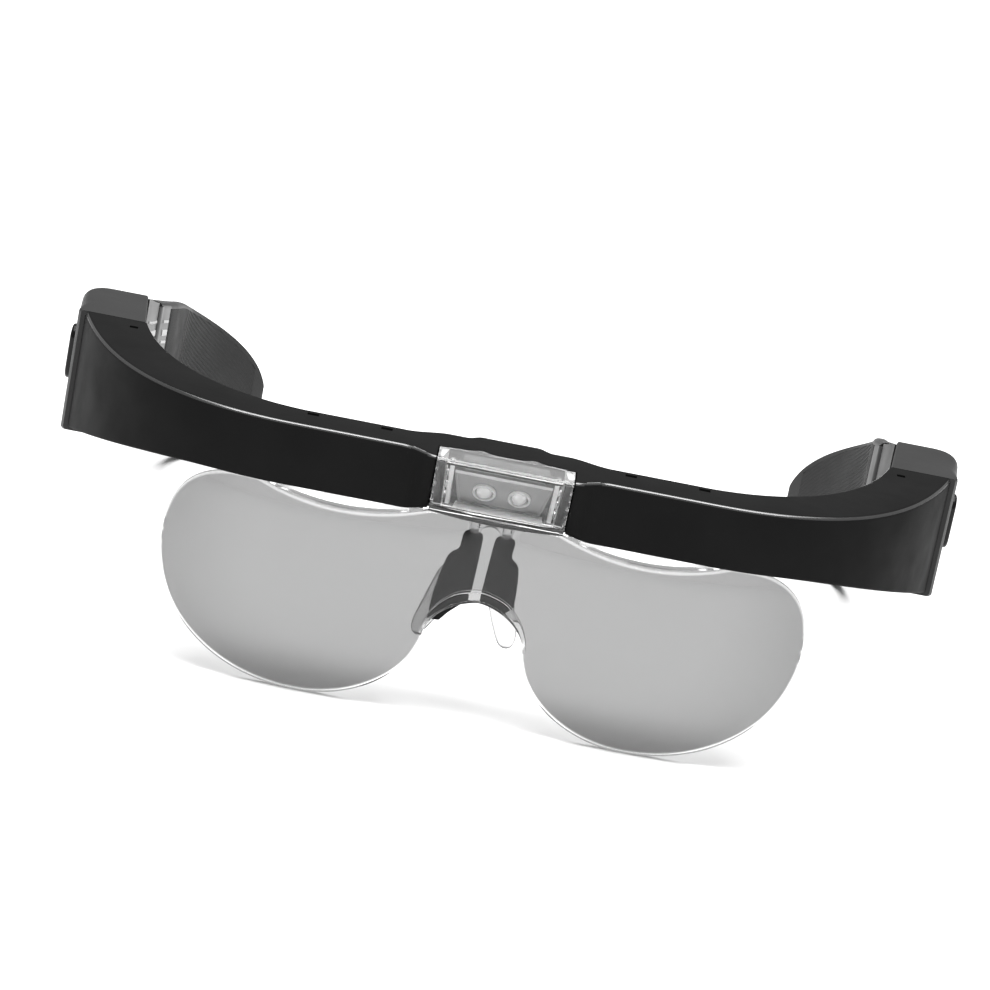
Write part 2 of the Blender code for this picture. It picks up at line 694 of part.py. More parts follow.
def make_arm(side, word):
    arm = arm_solid(f"{word}_temple_arm", side, "arm_black")
    pocket = grip_solid(f"{word}_grip_recess", side, GAP)
    grip = grip_solid(f"{word}_arm_grip", side, 0.0, "grip_black")
    reach = LUG_THICK + GAP
    lug_room = loft(f"{word}_lug_room", [[(side * (arm_inner(y) + dx), y, z) for dx, z in
                    ((-3, 2), (reach, 2), (reach, -45), (-3, -45))] for y in (60.0, 65.0, 70.0, PIN.y)])
    top = arm_top(PIN.y) - 0.8
    low = arm_low(PIN.y) + 0.8
    third = (top - low) / 3
    barrel = cylinder(f"{word}_arm_barrel", at_pin(side, low), at_pin(side, top), BARREL, sides=24)
    knuckle_room = cylinder(f"{word}_knuckle_room", at_pin(side, low + third - GAP),
                            at_pin(side, top - third + GAP), BARREL + GAP, sides=24)
    bore = cylinder(f"{word}_arm_bore", at_pin(side, low - 3), at_pin(side, top + 3), PIN_RADIUS + GAP)
    cut(arm, pocket, lug_room)
    join(arm, barrel)
    cut(arm, knuckle_room, bore)
    axis = pivot(f"{word}_arm_axis", at_pin(side, 0.0))
    hang(axis, arm, pocket, grip, lug_room, barrel, knuckle_room, bore)
    if side < 0:
        axis.rotation_euler = (0, 0, -LEFT_ARM_TURN)
    cylinder(f"{word}_hinge_pin", at_pin(side, low + 0.3), at_pin(side, top - 0.3), PIN_RADIUS, "steel",
             sides=16)


# ---------------------------------------------------------------- end blocks

def block_bottom(y):
    return underside(y) - 0.6


def block_side(y):
    """The block's outer side, which flares out towards the rear."""
    front = SEAM_Y + GAP
    return BLOCK_OUTER + BLOCK_FLARE * (y - front) / (BLOCK_REAR - front)


def block_body(side, word):
    """The block's plan outline as a prism, with a sloping underside."""
    front = SEAM_Y + GAP
    centre_y = BLOCK_REAR - BLOCK_CORNER
    corner = arc((block_side(centre_y) - BLOCK_CORNER, centre_y), BLOCK_CORNER, 0, 90, 5)
    outline = [(73.0, front), (BLOCK_OUTER - 0.6, front), (block_side(front + 1.2), front + 1.2)] + corner
    outline += [(75.3, BLOCK_REAR)]
    outline = [(side * x, y) for x, y in outline]
    shape = bmesh.new()
    upper = [shape.verts.new((x, y, 0.0)) for x, y in outline]
    lower = [shape.verts.new((x, y, block_bottom(y))) for x, y in outline]
    count = len(outline)
    shape.faces.new(upper)
    shape.faces.new(list(reversed(lower)))
    for i in range(count):
        j = (i + 1) % count
        shape.faces.new((upper[j], upper[i], lower[i], lower[j]))
    sharp = [edge for edge in shape.edges if abs(edge.verts[0].co.z - edge.verts[1].co.z) < 8
             and min(edge.verts[0].co.y, edge.verts[1].co.y) > front + 0.5]
    bmesh.ops.bevel(shape, geom=sharp, offset=1.0, segments=3, profile=0.5, affect="EDGES",
                    clamp_overlap=True)
    return finish(f"{word}_end_block", shape, "arm_black")


def make_block(side, word):
    block = block_body(side, word)
    ys = (BLOCK_REAR - 1.5, 70.0, PIN.y)
    lug = loft(f"{word}_lug", [[(side * (arm_inner(y) + dx), y, z) for dx, z in
               ((LUG_INSET, arm_top(y)), (LUG_THICK, arm_top(y)), (LUG_THICK, arm_low(y)),
                (LUG_INSET, arm_low(y)))]
               for y in ys])
    top = arm_top(PIN.y) - 0.8
    low = arm_low(PIN.y) + 0.8
    third = (top - low) / 3
    upper_room = cylinder(f"{word}_upper_room", at_pin(side, top - third), at_pin(side, top + 8),
                          BARREL + GAP, sides=24)
    lower_room = cylinder(f"{word}_lower_room", at_pin(side, low - 8), at_pin(side, low + third),
                          BARREL + GAP, sides=24)
    knuckle = cylinder(f"{word}_knuckle", at_pin(side, low + third), at_pin(side, top - third), BARREL,
                       sides=24)
    bore = cylinder(f"{word}_block_bore", at_pin(side, low - 8), at_pin(side, top + 8),
                    PIN_RADIUS + GAP)
    trim = box(f"{word}_lug_trim", (min(side * 60, side * 90), PIN.y - 0.2, -40.0),
               (max(side * 60, side * 90), PIN.y + 8.0, low + third - 0.01))
    trim_top = box(f"{word}_lug_trim_top", (min(side * 60, side * 90), PIN.y - 0.2, top - third + 0.01),
                   (max(side * 60, side * 90), PIN.y + 8.0, 5.0))
    cut(lug, upper_room, lower_room, trim, trim_top)
    join(lug, knuckle)
    cut(lug, bore)
    join(block, lug)
    tongue = box(f"{word}_tongue", (min(side * 74.3, side * 80.0), 39.0, -17.5),
                 (max(side * 74.3, side * 80.0), SEAM_Y + 1.5, -WALL - GAP))
    catch = box(f"{word}_catch", (side * 74.7 - 0.4, 39.4, -3.0), (side * 74.7 + 0.4, 40.2, -0.4))
    join(tongue, catch)
    join(block, tongue)
    face_x = Matrix.Rotation(math.radians(90), 3, "Y") @ Matrix.Rotation(math.radians(90), 3, "Z")
    y, z = BUTTON_SPOT
    pocket_x = block_side(y) - POCKET_DEEP / 2 + 1.0
    pocket = plate(f"{word}_button_pocket", obround(BUTTON_WIDE + 2 * GAP, BUTTON_TALL + 2 * GAP),
                   POCKET_DEEP + 2.0, Vector((side * pocket_x, y, z)), face_x)
    cut(block, pocket)
    make_button(side, word, face_x)


def make_button(side, word, face_x):
    y, z = BUTTON_SPOT
    thick = BUTTON_PROUD + BUTTON_DEEP
    centre = Vector((side * (block_side(y) + BUTTON_PROUD - thick / 2), y, z))
    button = plate(f"{word}_release_button", obround(BUTTON_WIDE, BUTTON_TALL), thick, centre, face_x,
                   "gloss_black")
    bevel = button.modifiers.new("soft_edge", "BEVEL")
    bevel.width = 0.4 * MM
    bevel.segments = 2
    bevel.limit_method = "ANGLE"
    bevel.angle_limit = math.radians(50)
    hang(pivot(f"{word}_button_axis", centre), button)
    make_spring(side, word)


def make_spring(side, word):
    """A coil between the pocket's floor and the button."""
    y, z = BUTTON_SPOT
    start = block_side(y) - POCKET_DEEP + 0.8
    end = block_side(y) - BUTTON_DEEP - 0.6
    turns = 3.5
    per_turn = 12
    count = int(turns * per_turn)
    curve = bpy.data.curves.new(f"{word}_button_spring", "CURVE")
    curve.dimensions = "3D"
    curve.bevel_depth = 0.2 * MM
    curve.bevel_resolution = 1
    curve.use_fill_caps = True
    line = curve.splines.new("POLY")
    line.points.add(count)
    for i, point in enumerate(line.points):
        angle = 2 * math.pi * i / per_turn
        x = side * (start + (end - start) * i / count)
        point.co = (*place((x, y + 1.5 * math.cos(angle), z + 1.5 * math.sin(angle))), 1)
    item = bpy.data.objects.new(curve.name, curve)
    PARTS.objects.link(item)
    curve.materials.append(PALETTE["steel"])


clear_scene()
PARTS = make_collection("head_visor_magnifier")
CUTTERS = make_collection("cutters")
PALETTE = {name: make_material(name) for name in MATERIALS}

make_front_frame()
make_rear_cover()
make_window()
make_lamp()
make_electrics()
make_lens()
make_nose_bracket()
make_nose_pads()
for SIDE, WORD in ((-1, "left"), (1, "right")):
    make_block(SIDE, WORD)
    make_arm(SIDE, WORD)
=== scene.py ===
import math

import bmesh
import bpy
import numpy as np
from mathutils import Matrix, Vector


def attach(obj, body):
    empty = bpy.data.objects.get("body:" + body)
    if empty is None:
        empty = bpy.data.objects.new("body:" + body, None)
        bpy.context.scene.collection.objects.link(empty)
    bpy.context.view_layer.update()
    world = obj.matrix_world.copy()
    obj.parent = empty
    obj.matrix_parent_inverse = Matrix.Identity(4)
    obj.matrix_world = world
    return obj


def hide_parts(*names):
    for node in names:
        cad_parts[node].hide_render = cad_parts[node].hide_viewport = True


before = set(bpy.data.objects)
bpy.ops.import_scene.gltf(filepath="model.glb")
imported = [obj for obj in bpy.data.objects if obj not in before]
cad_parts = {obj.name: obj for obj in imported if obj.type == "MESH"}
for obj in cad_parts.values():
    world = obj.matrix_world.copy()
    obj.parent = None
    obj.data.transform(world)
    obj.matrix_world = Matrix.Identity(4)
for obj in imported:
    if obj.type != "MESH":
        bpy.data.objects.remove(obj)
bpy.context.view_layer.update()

# Shapes are worked out in millimetres in the bar's own frame: x to the right, y towards the wearer,
# z up from the bar's flat top. place() turns that into the row frame in metres.
MM = 0.001
TOP_HEIGHT = 52.4
MID_DEPTH = 70.8
GAP = 0.3
SIDES = ((-1, "left"), (1, "right"))

# Brow bar
WALL = 1.5
COVER_THICK = 1.4
BAR_DEEP = 11.9
TOP_ROUND = 1.0
REAR_ROUND = 0.35
LOW_ROUND = 0.6
BAR_FRONT = -2.5
BAR_REAR = 7.0
BROW_BULGE = 3.4
BULGE_START = 12.6
BULGE_END = 19.2
BRIDGE_REAR = 11.4
SHOULDER_REAR = 9.5
FRONT_CURVE = [(38.0, -2.5), (66.0, -2.8), (78.0, 18.5), (84.8, 44.5)]
REAR_CURVE = [(38.0, 7.0), (56.0, 8.5), (68.0, 24.0), (72.6, 44.5)]
UNDERSIDE_SLOPE = 0.131
UNDERSIDE_SOFT = 3.0
SEAM_Y = 44.5
SLOT_SPOTS = [(22.7, 4.7, 2.1), (36.4, 4.8, 2.1), (74.7, 39.8, 1.6)]
SLOT_DEEP = 1.4
PORT_STATION = 0.48

# Lamp
NOTCH_HALF = 12.8
WINDOW_HALF = 12.5
WINDOW_FRONT = -7.0
WINDOW_WALL = 1.1
WINDOW_FOOT = 1.2
LAMP_LEAN = math.radians(30.2)
LAMP_CENTRE = Vector((0.0, 0.4, -6.5))
LED_RADIUS = 1.5
LED_FLANGE = 1.9
LED_SPREAD = 3.3
BOSS_HEIGHTS = (-3.2, -6.0, -8.6)
# Depth below the top and radius of each hollow in the window's ends.
DIMPLES = ((2.4, 0.6), (4.3, 0.45), (5.9, 0.7), (7.9, 0.5), (9.6, 0.6))
PIPE_INNER = 9.15
PIPE_OUTER = 9.95
LEDGE_HALF = 8.4
BEZEL_SIDES = 40

# Lens
LENS_TOP = -12.6
LENS_EDGE_Y = 2.5
LENS_BULGE = 4.5
TOP_DIP = 2.6
DIP_X = 28.0
DIP_HALF = 16.0
SHELF_Y = (1.2, 6.8)
LENS_EDGE = 1.6
LENS_RIM = 0.5
LOBE_X = 31.0
LOBE_WIDE = 60.0
LOBE_MID_Z = -26.8
INNER_MID_Z = -34.0
ARCH_HALF = 9.3
ARCH_FOOT = -37.2
ARCH_RISE = 8.4
ARCH_BAND = 2.1
LENS_THICKER = 1.4
LENS_WRAP = 0.0015
SWELL_X = 30.0
SWELL_Z = -27.0
SWELL_TALL = 25.4
SHELF_ROOMS = (18.2, 29.5, 39.6)
# Tint and index were tuned until the render's greys came near the photo's, not from material data.
LENS_TINT = (0.235, 0.235, 0.235)
# Tint factor in the band near each lobe's bottom: painted shade.
LENS_SHADE_FACTOR = 0.95
LENS_IOR = 1.4
# Colour where the lens's edges, top and shelf are left untinted: a painted highlight.
RIM_HIGHLIGHT_TONE = 0.97
RIM_ROUGH = 0.12
# Share of that painted edge highlight on the nose arch's border.
ARCH_HIGHLIGHT = 0.12
HOOKS = [(22.7, 4.7), (36.4, 4.7)]

# Nose pads
BRACKET_X = -0.5
PRONG_X = 3.0
PRONG_Y = 6.4
PRONG_RADIUS = 0.9
PAD_SPLAY = 0.055
PAD_TOP = -17.0
LEFT_PAD_OUT = 0.9

# End blocks and arms
BLOCK_OUTER = 86.2
BLOCK_REAR = 65.0
BLOCK_FLARE = 1.8
BLOCK_CORNER = 3.6
BLOCK_ROUND = 2.6
BLOCK_INNER = 73.0
BLOCK_INNER_FLARE = 2.3
BLOCK_NOSE = 1.2
BLOCK_EDGE = 0.5
BLOCK_SHARP = 0.6
BLOCK_DROP = 0.6
LUG_THICK = 3.8
LUG_INSET = 0.5
LUG_DROP = 0.2
PIN = Vector((74.95, 76.0, 0.0))
PIN_RADIUS = 0.7
BARREL = 1.9
ARM_INNER = [(74.3, 64.0), (67.8, 110.0), (88.4, 122.0), (63.3, 148.6)]
ARM_TOP = [(0.0, 64.0), (-7.2, 77.5), (-13.0, 142.8), (-36.4, 148.6)]
ARM_START = BLOCK_REAR + GAP
ARM_END = 148.6
ARM_LOW_START = -27.5
ARM_LOW_SLOPE = 0.38
ARM_ROUND = 1.2
TIP_LENGTH = 15.0
TIP_TALL = 8.0
LEFT_ARM_TURN = math.radians(6.8)
PANEL_FRONT = 83.0
PANEL_BACK = 146.2
PANEL_GAP = 0.02
RIB_PITCH = 1.0
RIB_DEEP = 0.3
RIB_RISE = 11.0
RIB_SETTLE = 10.0
RIB_FALL = 0.2
BUTTON_Y = 54.0
BUTTON_Z = -11.0
BUTTON_TALL = 11.0
BUTTON_WIDE = 5.0
BUTTON_PROUD = 1.0
BUTTON_DEEP = 2.8
POCKET_DEEP = 6.5
# Depth below the arm's top edge and height of each stripe.
STRIPES = ((4.6, 0.6), (6.6, 1.3), (8.9, 0.6), (10.6, 1.0))
STRIPE_THICK = 0.5

# Camera and stage, with the distance in metres. Several pitches and distances fit the photo about as
# well as this pair does.
CAMERA_PITCH = math.radians(17.0)
CAMERA_TURN = math.radians(-0.335)
CAMERA_ROLL = math.radians(11.083)
CAMERA_DISTANCE = 0.7
CAMERA_AIM = (-1.07, 0.0, -7.03)
FLOOR_TONE = 0.86
FLOOR_HALF = 5000
WORLD_STRENGTH = 0.42


# --- helpers

def place(point):
    """Bar-frame millimetres to metres in the row frame."""
    return Vector((point[0] * MM, (point[1] - MID_DEPTH) * MM, (point[2] + TOP_HEIGHT) * MM))


def unplace(point):
    """Row-frame metres back to bar-frame millimetres."""
    return Vector((point[0] / MM, point[1] / MM + MID_DEPTH, point[2] / MM - TOP_HEIGHT))


def build(name, shape, crease=30):
    """Turn a bmesh in bar-frame millimetres into a smooth-shaded object."""
    for vert in shape.verts:
        vert.co = place(vert.co)
    bmesh.ops.recalc_face_normals(shape, faces=shape.faces)
    mesh = bpy.data.meshes.new(name)
    shape.to_mesh(mesh)
    shape.free()
    item = bpy.data.objects.new(name, mesh)
    bpy.context.scene.collection.objects.link(item)
    crease_edges(item, crease)
    return item


def crease_edges(item, crease=30):
    item.data.shade_smooth()
    item.data.set_sharp_from_angle(angle=math.radians(crease))


def settle(item, crease=30):
    """Apply every modifier."""
    graph = bpy.context.evaluated_depsgraph_get()
    mesh = bpy.data.meshes.new_from_object(item.evaluated_get(graph))
    item.modifiers.clear()
    item.data = mesh
    crease_edges(item, crease)
    return item


def combine(item, others, operation):
    """Cut others from item, or join them to it, and remove them."""
    for other in others:
        modifier = item.modifiers.new(other.name, "BOOLEAN")
        modifier.operation = operation
        modifier.solver = "EXACT"
        modifier.object = other
    settle(item)
    for other in others:
        bpy.data.objects.remove(other, do_unlink=True)
    return item


def cut(item, *others):
    return combine(item, others, "DIFFERENCE")


def join(item, *others):
    return combine(item, others, "UNION")


def dress(item, *materials):
    """Give a piece its materials without losing which faces use which."""
    while len(item.data.materials) < len(materials):
        item.data.materials.append(None)
    for i, material in enumerate(materials):
        item.data.materials[i] = material


def paint(item, index, test):
    """Use the material of that index on the faces whose centre and normal pass test."""
    for face in item.data.polygons:
        if test(unplace(face.center), face.normal):
            face.material_index = index


def soften(item, width, segments=2, angle=35, edge=False):
    """Round the edges that are sharper than angle; with edge, the new faces use the second material, a
    whitish frosted finish that paints a highlight along them.
    """
    bevel = item.modifiers.new("soft_edges", "BEVEL")
    if edge:
        dress(item, FINISH["window"], FINISH["frost_and_highlight"])
        bevel.material = 1
    bevel.width = width * MM
    bevel.segments = segments
    bevel.limit_method = "ANGLE"
    bevel.angle_limit = math.radians(angle)
    bevel.harden_normals = False
    return settle(item, 40)


def loft(name, rings, crease=30, closed=False):
    """Skin a row of rings, all with the same number of points; cap its ends, or join them if closed."""
    shape = bmesh.new()
    rows = [[shape.verts.new(point) for point in ring] for ring in rings]
    count = len(rows[0])
    if closed:
        rows.append(rows[0])
    for before, after in zip(rows, rows[1:]):
        for i in range(count):
            j = (i + 1) % count
            shape.faces.new((before[i], before[j], after[j], after[i]))
    if not closed:
        shape.faces.new(rows[0])
        shape.faces.new(list(reversed(rows[-1])))
    bmesh.ops.remove_doubles(shape, verts=shape.verts, dist=0.0005)
    return build(name, shape, crease)


def box(name, low, high, matrix=Matrix.Identity(4)):
    """A box from its two opposite corners, measured in matrix's axes."""
    low = Vector(low)
    high = Vector(high)
    inside = Matrix.Translation((low + high) / 2) @ Matrix.Diagonal((*(high - low), 1))
    shape = bmesh.new()
    bmesh.ops.create_cube(shape, size=1, matrix=matrix @ inside)
    return build(name, shape)


def stub(name, x, y, half_wide, half_deep, low, high):
    """An upright box about a spot in plan, from height low to height high."""
    return box(name, (x - half_wide, y - half_deep, low), (x + half_wide, y + half_deep, high))


def cylinder(name, start, end, radius, sides=40):
    start = Vector(start)
    end = Vector(end)
    way = end - start
    spin = way.to_track_quat("Z", "Y").to_matrix().to_4x4()
    shape = bmesh.new()
    bmesh.ops.create_cone(shape, cap_ends=True, segments=sides, radius1=radius, radius2=radius,
                          depth=way.length, matrix=Matrix.Translation((start + end) / 2) @ spin)
    return build(name, shape)


def plate(name, outline, thickness, matrix):
    """A flat outline of (u, v) points with thickness, centred on matrix's u-v plane."""
    rings = [[matrix @ Vector((u, v, w)) for u, v in outline] for w in (-thickness / 2, thickness / 2)]
    return loft(name, rings)


def turns(count):
    """Angles at even steps round a full circle, in radians."""
    return [2 * math.pi * i / count for i in range(count)]


def revolve(name, profile, matrix, sides=48):
    """A turned piece from (radius, height) points about matrix's z axis."""
    rings = [[matrix @ Vector((radius * math.cos(a), radius * math.sin(a), height)) for a in turns(sides)]
             for radius, height in profile]
    return loft(name, rings, 40)


def bezier(points, t):
    a, b, c, d = (Vector(point) for point in points)
    s = 1 - t
    return a * s**3 + b * 3 * s * s * t + c * 3 * s * t * t + d * t**3


def across(curve, y):
    """First coordinate of a plan or side curve where it crosses y."""
    low, high = 0.0, 1.0
    for _ in range(30):
        t = (low + high) / 2
        if bezier(curve, t).y < y:
            low = t
        else:
            high = t
    return bezier(curve, low).x


def ease(value, start, end):
    """0 before start, 1 after end, smooth between."""
    u = min(max((value - start) / (end - start), 0.0), 1.0)
    return u * u * (3 - 2 * u)


def spread(start, end, steps):
    return [start + (end - start) * i / steps for i in range(steps + 1)]


def arc(centre, radius, start, end, steps):
    """Points round an arc, angles in degrees."""
    return [(centre[0] + radius * math.cos(math.radians(a)), centre[1] + radius * math.sin(math.radians(a)))
            for a in spread(start, end, steps)]


def obround(width, height, steps=16):
    """A slot outline with round ends, taller than it is wide."""
    r = width / 2
    rise = height / 2 - r
    return arc((0, rise), r, 0, 180, steps) + arc((0, -rise), r, 180, 360, steps)


def sides_of_x(side, inner, outer):
    """Low and high x of a span between two distances from the middle."""
    return sorted((side * inner, side * outer))


def show(item, body, slot, materials, *nodes):
    """Give a finished piece its body, its materials and the CAD nodes it stands for; slot is not used."""
    if not isinstance(materials, tuple):
        item.data.materials.clear()
        materials = (materials,)
    dress(item, *materials)
    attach(item, body)
    if nodes:
        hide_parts(*nodes)
    return item


# --- materials

def put(node, values):
    """Set a node's inputs by name."""
    for word, value in values.items():
        node.inputs[word].default_value = value


def shader_of(name, rough, colour=(1, 1, 1)):
    material = bpy.data.materials.new(name)
    material.use_nodes = True
    nodes = material.node_tree.nodes
    shader = nodes["Principled BSDF"]
    put(shader, {"Roughness": rough, "Base Color": (*colour, 1)})
    return material, nodes, material.node_tree.links, shader


def noise(nodes, links, scale, detail, stretch=(1, 1, 1)):
    """Noise in the piece's own coordinates; scale counts features to the metre."""
    where = nodes.new("ShaderNodeTexCoord")
    mapping = nodes.new("ShaderNodeMapping")
    put(mapping, {"Scale": stretch})
    texture = nodes.new("ShaderNodeTexNoise")
    put(texture, {"Scale": scale, "Detail": detail})
    links.new(where.outputs["Object"], mapping.inputs["Vector"])
    links.new(mapping.outputs["Vector"], texture.inputs["Vector"])
    return texture.outputs["Fac"]


def ramp(nodes, links, value, low, high, start=0.3, end=0.7):
    """A smooth change from low to high as value goes from start to end."""
    span = nodes.new("ShaderNodeMapRange")
    put(span, {"From Min": start, "From Max": end, "To Min": low, "To Max": high})
    links.new(value, span.inputs["Value"])
    return span.outputs["Result"]


def blend(nodes, links, value, dark, light):
    """A node whose colour input 6 is dark and 7 is light, mixed by value into colour output 2."""
    mix = nodes.new("ShaderNodeMix")
    mix.data_type = "RGBA"
    mix.inputs[6].default_value = (*dark, 1)
    mix.inputs[7].default_value = (*light, 1)
    links.new(value, mix.inputs["Factor"])
    return mix


def vary_colour(nodes, links, shader, value, dark, light):
    links.new(blend(nodes, links, value, dark, light).outputs[2], shader.inputs["Base Color"])


def raise_bump(nodes, links, shader, value, strength, distance):
    bump = nodes.new("ShaderNodeBump")
    put(bump, {"Strength": strength, "Distance": distance})
    links.new(value, bump.inputs["Height"])
    links.new(bump.outputs["Normal"], shader.inputs["Normal"])


def moulded(name, tone, rough, specular, grain=0.12, grain_scale=2600):
    """Moulded plastic or rubber: faint cloudy tone, uneven gloss and a fine grained surface."""
    material, nodes, links, shader = shader_of(name, rough)
    put(shader, {"Specular IOR Level": specular})
    cloud = noise(nodes, links, 60, 3)
    vary_colour(nodes, links, shader, ramp(nodes, links, cloud, 0, 1), [tone * 0.88] * 3, [tone * 1.12] * 3)
    links.new(ramp(nodes, links, noise(nodes, links, 140, 4), rough - 0.05, rough + 0.05),
              shader.inputs["Roughness"])
    raise_bump(nodes, links, shader, noise(nodes, links, grain_scale, 2), grain, 0.00004)
    return material


def clear(name, tint, rough, ior, haze=0.03, through=1.0):
    """Clear plastic with faint handling marks in its gloss; through is how much of it is see-through."""
    material, nodes, links, shader = shader_of(name, rough, tint)
    put(shader, {"Transmission Weight": through, "IOR": ior})
    marks = noise(nodes, links, 220, 4, (1, 1, 0.4))
    links.new(ramp(nodes, links, marks, rough, rough + haze, 0.5, 0.9), shader.inputs["Roughness"])
    return material


def lens_finish(name):
    """Smoke-tinted lens: where its points are marked, it is untinted and rougher along its edges, top and
    shelf as a painted highlight, and darker in a band low on each lobe as painted shade.
    """
    material, nodes, links, shader = shader_of(name, 0.0)
    put(shader, {"Transmission Weight": 1.0, "IOR": LENS_IOR})
    values = {}
    for word in ("rim", "deep"):
        attribute = nodes.new("ShaderNodeAttribute")
        attribute.attribute_name = word
        values[word] = attribute.outputs["Fac"]
    body = blend(nodes, links, values["deep"], LENS_TINT, [tone * LENS_SHADE_FACTOR for tone in LENS_TINT])
    whole = blend(nodes, links, values["rim"], LENS_TINT, [RIM_HIGHLIGHT_TONE] * 3)
    links.new(body.outputs[2], whole.inputs[6])
    links.new(whole.outputs[2], shader.inputs["Base Color"])
    marks = ramp(nodes, links, noise(nodes, links, 160, 4, (1, 1, 0.4)), 0.0, 0.006, 0.55, 0.9)
    gloss = nodes.new("ShaderNodeMix")
    put(gloss, {"B": RIM_ROUGH})
    links.new(values["rim"], gloss.inputs["Factor"])
    links.new(marks, gloss.inputs["A"])
    links.new(gloss.outputs["Result"], shader.inputs["Roughness"])
    return material


def metal(name, tone, rough, stretch):
    material, nodes, links, shader = shader_of(name, rough)
    put(shader, {"Metallic": 1.0})
    lines = noise(nodes, links, 900, 3, stretch)
    vary_colour(nodes, links, shader, ramp(nodes, links, lines, 0, 1), [tone * 0.8] * 3, [tone] * 3)
    links.new(ramp(nodes, links, lines, rough, rough + 0.2), shader.inputs["Roughness"])
    return material


def board_finish(name):
    """Dark circuit board with paler copper runs under the lacquer."""
    material, nodes, links, shader = shader_of(name, 0.35)
    where = nodes.new("ShaderNodeTexCoord")
    bricks = nodes.new("ShaderNodeTexBrick")
    put(bricks, {"Scale": 420, "Color1": (0.010, 0.014, 0.012, 1), "Color2": (0.014, 0.019, 0.016, 1),
                 "Mortar": (0.035, 0.045, 0.038, 1)})
    links.new(where.outputs["Object"], bricks.inputs["Vector"])
    links.new(bricks.outputs["Color"], shader.inputs["Base Color"])
    return material


def make_finishes():
    return {
        "bar": moulded("bar_plastic", 0.0065, 0.62, 0.05),
        # Glossier, and paler as a painted highlight along the bar's rounded top-front edge.
        "bar_highlight_edge": moulded("bar_painted_edge_highlight", 0.02, 0.2, 1.0, 0.03),
        "arm": moulded("arm_plastic", 0.017, 0.48, 0.28),
        # Glossier, and paler as a painted sheen; used on the left side only.
        "smooth_sheen": moulded("arm_smooth_painted_sheen", 0.045, 0.36, 0.4, 0.03),
        "stripe": moulded("pale_stripe", 0.42, 0.4, 0.5, 0.05),
        "grip": moulded("grip_rubber", 0.019, 0.62, 0.26, 0.3, 3600),
        "gloss": moulded("gloss_plastic", 0.004, 0.2, 0.2, 0.02),
        "pad_arm": moulded("pad_arm_plastic", 0.0045, 0.6, 0.1, 0.02),
        "window": clear("window_plastic", (0.98, 0.98, 0.98), 0.02, 1.49),
        "haze": clear("window_hazy_top", (0.95, 0.95, 0.95), 0.12, 1.49, 0.1, 0.9),
        # Frosted finish of the light pipes, ledge and bezels; on the rounded edges of the window and saddle
        # it is a painted highlight.
        "frost_and_highlight": clear("frosted_and_edge_highlight", (0.93, 0.93, 0.93), 0.3, 1.49, 0.1, 0.45),
        "led": clear("led_epoxy", (0.97, 0.97, 0.97), 0.04, 1.5, 0.05, 0.6),
        "lens": lens_finish("lens_plastic"),
        "silicone": clear("pad_silicone", (0.62, 0.62, 0.62), 0.25, 1.3, 0.05, 0.97),
        "reflector": moulded("reflector_plastic", 0.18, 0.32, 0.5, 0.05),
        "steel": metal("bright_steel", 0.62, 0.2, (1, 1, 0.1)),
        "cell": metal("cell_foil", 0.55, 0.3, (0.2, 1, 1)),
        "board": board_finish("circuit_board"),
    }


# --- brow bar

def bar_front(x):
    return BAR_FRONT - BROW_BULGE * (1 - ease(abs(x), BULGE_START, BULGE_END))


def bar_rear(x):
    away = abs(x)
    bridge = (BRIDGE_REAR - SHOULDER_REAR) * (1 - ease(away, 5.2, 8.0))
    shoulder = (SHOULDER_REAR - BAR_REAR) * (1 - ease(away, 11.0, 19.0))
    return BAR_REAR + bridge + shoulder


def underside(front_y):
    """Height of the bar's underside: level at the brow, then sloping down towards the ends."""
    return -BAR_DEEP - UNDERSIDE_SLOPE * (front_y + math.hypot(front_y, UNDERSIDE_SOFT))


def bar_stations():
    """Front point, rear point and forward lean of the bar's cross-sections, from left to right."""
    half = []
    for x in spread(0.0, 20.0, 50) + spread(21.0, 37.5, 12):
        lean = -bar_front(x) * (1 - ease(x, BULGE_START, BULGE_END))
        half.append((Vector((x, bar_front(x))), Vector((x, bar_rear(x))), lean))
    for t in spread(0.0, 1.0, 60):
        half.append((bezier(FRONT_CURVE, t), bezier(REAR_CURVE, t), 0.0))
    mirrored = [(Vector((-f.x, f.y)), Vector((-r.x, r.y)), lean) for f, r, lean in reversed(half[1:])]
    return mirrored + half


def bar_loft(name, profile):
    """Carry a profile of (distance behind the front, height) points along the bar."""
    rings = []
    for front, rear, lean in bar_stations():
        way = (rear - front).normalized()
        rings.append([(front.x + way.x * d, front.y + way.y * d, z)
                      for d, z in profile((rear - front).length, underside(front.y), lean)])
    return loft(name, rings, 25)


def shell_profile(deep, low, lean):
    """The C-shaped wall of the bar, open at the rear."""
    rear_top = arc((deep - REAR_ROUND, -REAR_ROUND), REAR_ROUND, 0, 90, 4)
    top = arc((TOP_ROUND, -TOP_ROUND), TOP_ROUND, 90, 180, 8)
    foot = arc((lean + LOW_ROUND, low + LOW_ROUND), LOW_ROUND, 180, 270, 5)
    inner = [(deep, low), (deep, low + WALL), (lean + WALL, low + WALL), (WALL, -WALL), (deep, -WALL)]
    return rear_top + top + foot + inner


def cover_profile(deep, low, lean):
    high = -WALL - GAP
    floor = low + WALL + GAP
    r = REAR_ROUND
    rear = arc((deep - r, floor + r), r, 270, 360, 3) + arc((deep - r, high - r), r, 0, 90, 3)
    return rear + [(deep - COVER_THICK, high), (deep - COVER_THICK, floor)]


